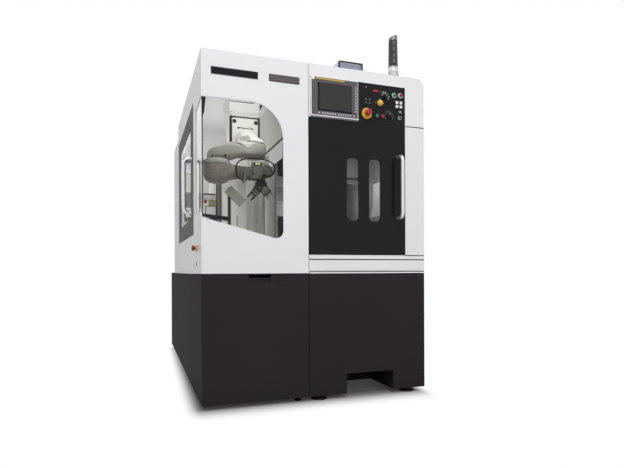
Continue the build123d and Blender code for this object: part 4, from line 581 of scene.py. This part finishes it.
# Levelling feet: pad, stud and lock nut; small ones left, broad ones right.
with Piece("levelling_feet_set", "frame", "dark_steel", "levelling_feet") as feet:
    rear = 2310
    small = [(50, 345), (50, 440), (50, rear), (533, 50), (533, rear)]
    large = [(x, y) for x in (659, 1225) for y in (50, 1180, rear)]
    for places, radius in ((small, 20), (large, 46)):
        for place in places:
            feet.turned(nylon, "z", place, [
                (radius - 1, -25), (radius, -24), (radius, -19), (radius - 2.5, -16), (radius * 0.55, -13)])
            feet.slab(base_coat, "z", six_sided(radius * 0.5), -13, -6, place)
            feet.turned(base_coat, "z", place, [(radius * 0.3, -7), (radius * 0.3, 0)])

# The drawer's round lock: dished escutcheon with a slot, shaft and tongue.
with Piece("drawer_lock_set", "drawer_lock", "dark_steel", "drawer_lock") as lock:
    place = (436, 645)
    lock.turned(nylon, "y", place, [
        (8, 22), (8, -0.4), (22, -0.4), (22, -4.5), (20, -6.6), (17, -7), (15, -5.6), (9, -5), (8, -6.6), (7, -7)])
    lock.plate(dark_steel, "y", place, (3, 11), -6.5, -7, 1, 0.2)
    lock.plate(dark_steel, "y", (436, 653), (16, 32), 20.4, 26, 2, 0.8)

# The cabinet's rotary switch: red grip across a black disc.
with Piece("main_switch_grip", "main_switch", "dark_steel", "main_switch") as switch:
    place = (700, 1288)
    switch.turned(nylon, "y", place, [(4, 1914), (4, 1931), (28, 1930.4), (28, 1936), (25.5, 1940.4)])
    switch.plate(red_nylon, "y", place, (14, 55), 1939, 1960.4, 6, 2.5)

# Signal tower: pale flared foot, smoked lens cut off at a slant, reflector and lamp boards inside.
with Piece("signal_tower_lamp", "frame", "tower_plastic", "signal_tower", bench=TOWER_FOOT) as tower:
    tower.turned(steel, "z", ORIGIN, [(40, 0), (40, 7), (38, 11), (36, 11)])
    tower.turned(key_grey, "z", ORIGIN, [(37, 10), (36.5, 14), (33.5, 30), (31, 44), (28.5, 44)], 8)
    collar, lens = [[placed("z", ORIGIN, circle(radius), at) for radius, at in profile] for profile in (
        [(29.8, 42), (29.5, 84)], [(29.5, 84), (28, 150), (26.8, 215)])]
    tower.skin(clear_pane, collar, (True, False))
    top, slant = 259, 0.4
    for radius, drop in ((26.2, 4), (24.8, 1), (22, 0.4)):
        lens.append([Vector((a, b, top + slant * a - drop)) for a, b in circle(radius)])
    tower.skin(smoked_lens, lens, (False, True))
    tower.turned(white_abs, "z", ORIGIN, [(28, 44), (27, 54), (11, 80), (4, 86)], 8)
    tower.turned(bezel_abs, "z", ORIGIN, [(17, 86), (17, 236)], 12)
    for at in (106, 142, 178, 214):
        tower.plate(key_grey, "y", (-4, at), (14, 24), -16, -19, 2, 0.8)
        tower.turned(steel, "z", ORIGIN, [(20, at + 15), (21.5, at + 16), (21.5, at + 18), (20, at + 19)])

# Box on the roof with a dark front frame and tilted louvres.
with Piece("roof_unit_box", "frame", "roof_grey", "roof_unit") as unit:
    unit.plate(roof_coat, "z", (888.5, 265), (155, 310), 1850, 1938, 3, 2)
    unit.rim(nylon, "y", (888.5, 1894), (155, 88), (143, 78), 112, 100, edge=1)
    for i in range(6):
        unit.bench = tilted((888.5, 106, 1866 + 11.5 * i), 35, "X")
        unit.plate(louvre_coat, "z", ORIGIN, (144, 11), -0.8, 0.8, 0.5, 0.3)
    unit.bench = Matrix()
    unit.screws(steel, (817, 960), (1856, 1932), 100.5, 3)

# Trim in the cell, first the window's gaskets.
with Piece("cell_trim", "frame", "dark_steel") as trim:
    trim.plate(nylon, "z", (7, 7), (5, 5), 985, 1600)
    trim.slab(nylon, "y", ((4, 1602), (26, 1602), (17, 1520), (6, 1490)), 12, 18)
    trim.slab(nylon, "y", ((10, 984), (140, 962), (140, 986), (10, 998)), 11, 17)
    # Frame of the rear passage, and the shelf that stands in it.
    trim.rim(nylon, "y", (175, 1345), (320, 502), (240, 430), 1459.9, 1452, 4, 2, 1)
    trim.plates(
        (olive_paint, "y", (308, 1345), (10, 470), 1453, 1446),
        (dark_steel, "y", (175, 1323), (236, 10), 1490, 1470),
        (key_grey, "y", (175, 1299), (236, 38), 1486, 1474),
        (bezel_abs, "y", (126, 1262), (138, 106), 1485, 1473),
        (dark_steel, "y", (46, 1323), (30, 10), 1453, 1444),
        (bezel_abs, "y", (46, 1264), (30, 108), 1453, 1446),
        (olive_paint, "y", (265, 1254), (60, 52), 1486, 1468, 2, 1),
        (red_nylon, "y", (212, 1264), (24, 30), 1486, 1470, 3, 2),
        (roof_coat, "y", (254, 1187), (82, 78), 1490, 1474, 3, 1.5))
    trim.rim(bezel_abs, "y", (254, 1187), (88, 84), (76, 72), 1482, 1472, 4, 3, 1)
    # Header over the hatch, the plates seen through it, the strip and the frame on the robot's mount.
    trim.plates(
        (white_coat, "x", (541, 1456), (322, 106), 544.5, 541),
        (white_coat, "y", (603, 1205), (76, 270), 656, 650),
        (key_grey, "y", (603, 1221), (74, 96), 651, 648),
        (stainless, "y", (352, 1717), (192, 38), 600, 594, 1.5, 1))
    trim.screws(nylon, (264, 440), (1706, 1728), 594, 3)
    trim.rim(nylon, "y", (352, 1578), (198, 248), (172, 226), 600, 591, 2, 2, 1)
    for x in (282, 422):
        for z in (1478, 1666):
            trim.turned(steel, "y", (x, z), [(13, 582), (13, 580), (11.8, 579.4)])
            trim.screw(nylon, (x, 579.5, z), 9.5)
    trim.plate(nylon, "y", (334, 1799), (160, 5), 600, 597)
    # Covers of the hatch's rails, the waved sheet on the partition, a bracket under the roof.
    for z in (894, 1524):
        trim.plate(nylon, "x", (594, z), (556, 13), 560, 541.5, 1, 0.6)
    wave, swing, step = 280, 8.5, 9.5
    waves = [(549 + swing * cos(2 * pi * (step * i - 160) / wave), 884 + step * i) for i in range(-2, 60)]
    trim.slab(wall_sheet, "z", waves + [(x + 1.5, y) for x, y in waves[::-1]], 712, 1488)
    trim.slab(dark_steel, "y", ((452, 1846), (500, 1846), (470, 1786), (456, 1760)), 606, 640)

# Dark joints in the grinder's white front, and the bright strip along the top edge of its base, a painted highlight.
with Piece("front_seams", "frame", "fitting_black") as seams:
    seams.plates(
        (nylon, "y", (953.5, 763), (733, 6), 4, -0.4, 0.4, 0.2),
        (nylon, "y", (953.5, 694), (733, 5), 1, -0.4, 0.4, 0.2),
        (nylon, "y", (1256, 788), (128, 5), 1, -0.6, 0.4, 0.2),
        (nylon, "y", (1257, 1556), (127, 5), 1.5, -0.6, 0.4, 0.2),
        # Bright strip on the base's top edge: a painted highlight.
        (white_abs, "y", (953.5, 687), (726, 5), 3, -1.2, 0.6))

# White sheet guard beside the wheel: its leg stands on the bed, its left edge is swept.
with Piece("splash_guard", "frame", "white_paint") as guard:
    outline = [(1232, 744.5), (1262, 744.5), (1262, 1312), (1163, 1268), (1163, 1200), (1162, 1140), (1158, 1105),
               (1150, 1075), (1139, 1049), (1232, 1068)]
    guard.slab(white_coat, "y", outline, 367, 370)

# Cup wheel on a steel shank with its nut, over a three-jaw chuck.
work = (953, 480)
with Piece("cup_wheel", "grinding_wheel", "abrasive", "grinding_wheel") as wheel:
    wheel.turned(steel, "z", work, [(20, 1322), (20, 1262), (19, 1261), (19, 1190), (24, 1189), (24, 1181)])
    wheel.turned(abrasive, "z", work, [
        (42, 1181.5), (57, 1180), (60, 1177), (60, 1133), (57, 1130), (40, 1130), (37, 1133)])
    wheel.turned(dark_steel, "z", work, [(16, 1134), (16, 1131), (14, 1130)])
with Piece("three_jaw_chuck", "work_chuck", "chuck_steel", "work_chuck") as chuck:
    chuck.turned(steel, "z", work, [
        (30, 900.4), (30, 1000.4), (97, 1000.4), (100, 1003), (100, 1036), (97, 1039), (52, 1039), (50, 1036),
        (28, 1036), (27, 1010)])
    for turn in (30, 150, 270):
        chuck.bench = tilted((*work, 0), turn, "Z")
        chuck.plate(dark_steel, "z", (66, 0), (56, 26), 1036, 1044, 2, 1)
        chuck.plate(steel, "z", (60, 0), (36, 22), 1043, 1048.4, 2, 1)
        chuck.screw(nylon, (84, 0, 1043.8), 5, UP)


# ---- robot

ELBOW_AXIS, SHOULDER_AXIS, FOREARM_AXIS = (144, 405), (375, 430), (405, 1300)
GRIPPER_HEAD = (412, 405, 1230.6)
CABLE_ROUTE = ((290, 1246), (246, 1246), (246, 1380), (484, 1380), (484, 1276), (432, 1276))
CABLE_DEPTH = 346
CABLE_DIAMETER = 0.008

# Flange plate with its cover and screws, and the round foot that carries the first axis.
with Piece("robot_base_casting", "frame", "robot_white", "robot_base") as base:
    # The flange and the foot take the white copy of the casting paint: painted light.
    base.plate(lit_casting_white, "y", (352, 1576), (170, 228), 600, 582, 10, 2.5)
    base.turned(lit_casting_white, "y", (352, 1555), [(64, 582.5), (59, 577), (53, 571), (50, 564), (50, 524), (48, 522)])
    base.plate(lit_casting_white, "y", (352, 1648), (110, 46), 583, 578.5, 8, 1.5)
    for x in (309, 395):
        base.plate(gripper_steel, "y", (x, 1624), (15, 7), 582.5, 577, 2, 1)
        base.screw(nylon, (x, 577.5, 1624), 3)
    for i in range(-3, 4):
        base.screw(gripper_steel, (352 + 10 * i, 582, 1622 + 0.9 * i * i), 4)

# Turret disc and the block above the arm, drawn in towards its top, in the white copy of the paint as painted light;
# its faces looking to the front left take the grey copy as painted shade.
with Piece("robot_shoulder_casting", "robot_shoulder", "robot_white", "robot_shoulder") as block:
    block.turned(lit_casting_white, "y", (352, 1555), [(42, 521.6), (44, 520), (44, 509), (42, 507)])
    corners = [Vector((x, y, 0)) for x, y in ((278, 518), (278, 432), (348, 370), (434, 392), (434, 518))]
    crown, easing, painted_shade_top = Vector((335, 512, 0)), 12, 1540
    rings = []
    for z, reach in ((1490.4, 0.97), (1493, 1), (1498, 0.98), (1538, 0.64), (1562, 0.44), (1569, 0.34), (1574, 0.22),
                     (1576, 0.1)):
        drawn = [crown + (corner - crown) * reach for corner in corners]
        rings.append([point + UP * z for point in eased(drawn, easing * reach)])
    block.skin(lit_casting_white, rings)
    # Faces turned to the front left, away from the cell light, get the grey paint: painted shade.
    block.finishes.append(casting_grey_and_shade)
    for face in block.mesh.faces:
        if face.normal.x < -0.4 and face.normal.y < -0.3 and face.calc_center_median().z < painted_shade_top:
            face.material_index = 1

# The arm between two upright axes: a dome over the elbow, a waist under a white patch over its dip, a painted
# highlight, and a flat hub.
elbow, shoulder = Vector((*ELBOW_AXIS, 0)), Vector((*SHOULDER_AXIS, 0))
length, elbow_half, hub_half, waist = (shoulder - elbow).length, 62, 74, 9
run = (shoulder - elbow).normalized()
side = UP.cross(run)
tops = [(-elbow_half, 1396), (-50, 1421), (-34, 1437), (-8, 1453), (30, 1468), (80, 1482), (118, 1474),
        (178, 1442), (length + 8, 1488), (length + 56, 1489), (length + hub_half, 1468)]
lows = [(-elbow_half, 1378), (-52, 1372.4), (66, 1372.4), (150, 1397), (length + 58, 1397), (length + hub_half, 1408)]


def section(at, half, top, low, squareness):
    """The arm's outline at a place along it."""
    middle = elbow + run * at + UP * (top + low) / 2
    return [middle + side * a + UP * b for a, b in pillow(half, (top - low) / 2, squareness)]


with Piece("robot_upper_arm_casting", "robot_upper_arm", "robot_white", "robot_upper_arm") as arm:
    rings, steps = [], 46
    for i in range(steps + 1):
        t = 0.5 - 0.5 * cos(pi * (0.02 + 0.96 * i / steps))
        at = -elbow_half + t * (length + elbow_half + hub_half)
        if at < 0:
            half = sqrt(elbow_half ** 2 - at ** 2)
        elif at > length:
            half = sqrt(hub_half ** 2 - (at - length) ** 2)
        else:
            half = elbow_half + (hub_half - elbow_half) * at / length - waist * sin(pi * at / length)
        rings.append(section(at, half, blend(tops, at), blend(lows, at), 3.4))
    arm.skin(casting_grey_and_shade, rings)
    # The white patch over the dip is a painted highlight, where the crease between the arm's lobes catches the light.
    highlight_top, half, sunk = 1488, 58, 8
    arm.skin(lit_casting_white, [section(at, half, highlight_top, blend(tops, at) - sunk, 5) for at in range(110, 243, 12)])
    arm.turned(casting_grey_and_shade, "z", SHOULDER_AXIS, [(46, 1399), (46, 1395), (43, 1393.4), (6, 1393.4)])
    for turn in range(30, 360, 60):
        a, b = around(turn)
        arm.screw(nylon, (375 + 38 * a, 430 + 38 * b, 1393.8), 3, -UP)
    for x, y, z, radius in ((182, 349, 1384, 7), (110, 358, 1381, 4.5), (432, 386, 1420, 4), (424, 380, 1414, 4)):
        arm.screw(nylon, (x, y, z), radius)

# Drum under the arm with a sloped lid, a dished bottom and the neck for the forearm.
with Piece("robot_elbow_casting", "robot_elbow", "robot_white", "robot_elbow") as drum:
    drum.turned(casting_grey_and_shade, "z", ELBOW_AXIS, [
        (56, 1371.4), (66, 1370), (73, 1362), (79, 1349), (82.4, 1339), (82.4, 1337)], 64)
    drum.turned(nylon, "z", ELBOW_AXIS, [(81, 1337.6), (81, 1333.4)], 64)
    # The lower drum and the neck take the darker taupe: painted shade under the elbow.
    drum.turned(elbow_shade_taupe, "z", ELBOW_AXIS, [
        (82, 1334), (84, 1332), (84, 1288), (82, 1270), (76, 1254), (66, 1241.5), (52, 1233), (36, 1229), (30, 1228.2),
        (29, 1226.4), (8, 1226)], 64)
    neck = [(190, 74, 64, 3), (206, 66, 58, 2.6), (222, 54, 51, 2.2), (234, 47.5, 47, 2), (240, 45, 45, 2),
            (243.6, 44, 44, 2)]
    drum.stack(elbow_shade_taupe, "x", FOREARM_AXIS, [(pillow(a, b, square), x) for x, a, b, square in neck])
    for turn in (-125, -72, 110, 160):
        a, b = around(turn)
        drum.screw(nylon, (144 + 83 * a, 405 + 83 * b, 1296), 4, (a, b, 0))

# Tube, fork with round cheeks, hub cover, lamp box and cable clips; beside them the wrist's socket cover.
with Piece("robot_forearm_casting", "robot_forearm", "robot_white", "robot_forearm") as arm:
    tube = [(244.5, 43.4, 43.4, 2), (246, 45, 45, 2), (256, 45, 45, 2), (258, 41, 41, 2), (300, 40, 40, 2),
            (322, 42, 39, 2.4), (338, 44.6, 38, 3.2), (348, 44.6, 37, 4)]
    # The forearm's castings take the mid grey: painted shade below the upper arm.
    arm.stack(grey_paint_and_forearm_shade, "x", FOREARM_AXIS, [(pillow(a, b, square), x) for x, a, b, square in tube])
    turns = [pi * (0.5 - i / 24) for i in range(25)]
    cheek = [(-74, -37), (-74, 37)] + [(38 * cos(t), 38 * sin(t)) for t in turns]
    inset = [(a * 0.95 - 1, b * 0.95) for a, b in cheek]
    for front, lip, back in ((360, 363, 374), (450, 447, 436)):
        arm.stack(grey_paint_and_forearm_shade, "y", (412, 1300), [(inset, front), (cheek, lip), (cheek, back)])
    arm.turned(grey_paint_and_forearm_shade, "y", (412, 1296), [(30, 361), (30, 356.5), (27, 354.5), (12, 354.5), (11, 356)])
    for turn in range(0, 360, 60):
        a, b = around(turn)
        arm.screw(steel, (412 + 21 * a, 355, 1296 + 21 * b), 3)
    arm.plate(grey_paint_and_forearm_shade, "y", (381, 1350), (62, 24), 400, 360, 4, 2.5)
    arm.plate(bezel_abs, "y", (381, 1351), (36, 16), 361, 358.5, 3, 1)
    for x in (373, 389):
        arm.turned(lamp_yellow, "y", (x, 1351), [(5.2, 359), (5.2, 356.5), (3.5, 354.8), (1, 354.4)], 18)
    arm.plate(grey_paint_and_forearm_shade, "y", (300, 1266), (14, 62), 404, 338, 3, 2)
    arm.plate(nylon, "y", (419, 1276), (26, 22), 372, 336, 3, 2)
    for rise in (22, -22):
        arm.screw(nylon, (330, 407 - sqrt(42 ** 2 - rise ** 2), 1300 + rise), 4, (0, -33.2, rise))
    for x, z, size in ((446, 1322, 14), (352, 1290, 12), (346, 1312, 9)):
        arm.plate(nylon, "y", (x, z), (size, size * 0.8), 362, 354, 2, 1)
with Piece("wrist_socket", "robot_forearm", "robot_white") as socket:
    outline = [(436, 1266), (462, 1272), (476, 1290), (478, 1308), (470, 1330), (452, 1346), (424, 1350), (424, 1330)]
    socket.slab(grey_paint_and_forearm_shade, "y", outline, 370, 352)
    socket.turned(steel, "x", (362, 1310), [(7, 470), (7, 480), (5, 483), (3, 483)], 18)
    for place in ((446, 1330), (460, 1312), (452, 1284)):
        socket.plate(nylon, "y", place, (10, 8), 353, 347, 2, 1)

# Two grippers at the wrist, dark left and pale right: jaws with pads and screws, face plates, air fittings.
a, b = around(40)
for side, name, jaw, shell in ((-1, "left", gripper_steel, gripper_steel), (1, "right", zinc_bar, grey_paint_and_forearm_shade)):
    across, along = Vector((side * a, 0, b)), Vector((side * b, 0, -a))
    bench = Matrix.Translation(GRIPPER_HEAD) @ Matrix((across, DEEP, along)).transposed().to_4x4()
    for place, which in ((-1, "inner"), (1, "outer")):
        node, x = f"{name}_finger_{which}", place * 14.5
        with Piece(node + "_jaw", node, "gripper_metal", node, bench=bench) as finger:
            finger.plate(jaw, "z", (x, 0), (11, 30), 76.4, 112, 1, 0.8)
            finger.plate(steel, "z", (x - place * 0.2, 0), (10.6, 24), 111.5, 118.4, 1, 1.2)
            finger.screws(steel, (x,), (86, 100), -15, 2.6)
    with Piece(name + "_gripper_plate", "gripper_body", "gripper_metal", bench=bench) as head:
        head.plate(shell, "z", ORIGIN, (50, 50), 16, 50, 3, 2)
        head.plate(steel, "z", ORIGIN, (40, 47), 49, 60, 2, 1)
        head.plate(steel, "z", ORIGIN, (46, 46), 66, 75.8, 2, 1)
        for x, z in ((-15, 41), (15, 59)):
            for out in (-1, 1):
                head.screw(nylon, (x, out * 22.95, z), 3.4, (0, out, 0))
        head.turned(chrome, "y", (0, 26), [(5, -22), (5, -28), (3.6, -29), (3.6, -33), (2.2, -33.4)], 18)

# The black loop between two clips in front of the wrist.
curve = bpy.data.curves.new("wrist_cable_loop", "CURVE")
curve.dimensions, curve.bevel_depth, curve.bevel_resolution = "3D", CABLE_DIAMETER / 2, 5
curve.resolution_u = 24
line = curve.splines.new("NURBS")
line.points.add(len(CABLE_ROUTE) - 1)
places = [in_metres((x, CABLE_DEPTH, z)) for x, z in CABLE_ROUTE]
for point, place in zip(line.points, places):
    point.co = (*place, 1.0)
line.order_u, line.use_endpoint_u = 3, True
curve.materials.append(cable_pvc)
cable = new_object("wrist_cable_loop", curve)
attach(cable, "robot_forearm")
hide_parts("wrist_cable")


# ---- floor, light and camera

ROOM_LIGHT = 0.31


def reckon(tree, kind, operation, *terms):
    """The result of a Math or VectorMath node on its terms."""
    made = add(tree, kind, dict(enumerate(terms)), operation=operation)
    return made.outputs["Value" if operation == "LENGTH" else 0]


def white_to_the_eye(tree, dim, output, surface, share=1.0):
    """White for the camera, mirrors and panes, by its share; dim for the light it gives or keeps."""
    path = add(tree, "LightPath").outputs
    seen = reckon(tree, "Math", "MAXIMUM", path["Is Camera Ray"], path["Is Glossy Ray"])
    seen = reckon(tree, "Math", "MAXIMUM", seen, path["Is Transmission Ray"])
    seen = reckon(tree, "Math", "MULTIPLY", seen, share)
    white = add(tree, surface, {"Color": (1, 1, 1, 1), "Strength": 1.0})
    mix = add(tree, "MixShader", {0: seen, 1: dim.outputs[0], 2: white.outputs[0]})
    tree.links.new(mix.outputs[0], tree.nodes[output].inputs["Surface"])


world = bpy.data.worlds.new("studio")
world.use_nodes = True
scene.world = world
room = add(world.node_tree, "Background", {"Color": linear("#f6f6f7"), "Strength": ROOM_LIGHT})
white_to_the_eye(world.node_tree, room, "World Output", "Background")

ground = bpy.data.meshes.new("studio_floor")
ground.from_pydata([(-9, -9, 0), (9, -9, 0), (9, 9, 0), (-9, 9, 0)], [], [(0, 1, 2, 3)])
floor = new_object("studio_floor", ground)
white, tree, paint = new_material("studio_floor_white")
paint.inputs["Roughness"].default_value = 0.8
paint.inputs["Specular IOR Level"].default_value = 0.0
# Close to the base the floor lies in a soft contact shade, partly the lamps' shadow and partly painted shadow in its
# colour: 100 mm beside it, and in front from 60 mm under the base to 200 mm before it. It weakens towards the rear.
SHADE_HALF, SHADE_REACH = (0.632, 1.085, 0), (0.1, 0.26, 1)
REAR_LOSS, DEEPEST_SHADE = 0.45, 0.03
spot = add(tree, "TexCoord").outputs["Object"]
reach = spot
for operation, *term in (
        ("ABSOLUTE",), ("SUBTRACT", SHADE_HALF), ("MAXIMUM", (0, 0, 0)), ("DIVIDE", SHADE_REACH), ("LENGTH",)):
    reach = reckon(tree, "VectorMath", operation, reach, *term)
depth = add(tree, "SeparateXYZ", {0: spot}).outputs["Y"]
rearward = add(tree, "MapRange", {"Value": depth, "From Min": -1.1, "From Max": 1.1, "To Max": REAR_LOSS})
reach = reckon(tree, "Math", "ADD", reach, rearward.outputs[0])
fade = add(tree, "MapRange", {"Value": reach, "To Min": DEEPEST_SHADE}, interpolation_type="SMOOTHSTEP")
# The floor's colour darkens from pale to mid grey towards the base: a painted shadow.
shade = add(tree, "Mix", {"Factor": fade.outputs[0], "A": linear("#808080"), "B": linear("#dcdcdc")}, data_type="RGBA")
tree.links.new(shade.outputs["Result"], paint.inputs["Base Color"])
white_to_the_eye(tree, paint, "Material Output", "Emission", fade.outputs[0])
ground.materials.append(white)


def soft_box(name, at, towards, size, power, spread=180, glossy=False):
    """A rectangular lamp that the camera doesn't see; only some show in mirrors."""
    light = bpy.data.lights.new(name, "AREA")
    light.shape, light.size, light.size_y, light.energy = "RECTANGLE", *size, power
    light.spread = radians(spread)
    lamp = new_object(name, light)
    lamp.visible_camera, lamp.visible_transmission, lamp.visible_glossy = False, False, glossy
    lamp.location = at
    lamp.rotation_euler = (Vector(towards) - Vector(at)).to_track_quat("-Z", "Y").to_euler()


soft_box("key", (-0.7, -4.6, 6.4), (0, 0, 1.1), (2.6, 2.6), 195, glossy=True)
soft_box("front", (0.6, -6.0, 2.6), (0, 0, 1.0), (3.0, 3.0), 88)
soft_box("side", (-2.6, -1.4, 3.6), (-0.63, -0.3, 1.7), (1.2, 1.2), 22)
soft_box("top", (0.0, 0.0, 5.0), (0, 0, 0), (4.0, 4.0), 30, glossy=True)
# Work lights in cell, rear passage and grinder, and the light that walls and trays throw back.
for name, at, towards, *values in (
        ("cell_light", (335, 130, 1790), (350, 582, 1560), (0.4, 0.1), 2.3),
        ("cell_bounce", (260, 1000, 1080), (560, 700, 1400), (0.3, 0.5), 3.0),
        ("mount_bounce", (100, 800, 1450), (252, 800, 1720), (0.4, 0.1), 0.75),
        ("rear_bounce", (150, 1100, 1350), (200, 1456, 1640), (0.2, 0.2), 1.1),
        ("stand_light", (330, 60, 980), (300, 700, 1060), (0.3, 0.1), 0.58, 70),
        ("passage_light", (150, 1880, 1400), (290, 1560, 1360), (0.14, 0.3), 0.6),
        ("grinder_light", (1090, 110, 1720), (1200, 367, 1160), (0.3, 0.1), 1.1, 100),
        ("grinder_bounce", (1150, 860, 1280), (1317, 960, 1390), (0.3, 0.3), 0.25)):
    soft_box(name, in_metres(at), in_metres(towards), *values)

optics = bpy.data.cameras.new("photo_camera")
optics.lens, optics.sensor_width, optics.shift_y = 28.36, 36.0, 0.058
camera = new_object("photo_camera", optics)
camera.location = (-0.9433, -3.7154, 0.72785)
camera.rotation_euler = (radians(90), radians(0.21), radians(-19.55))
scene.camera = camera
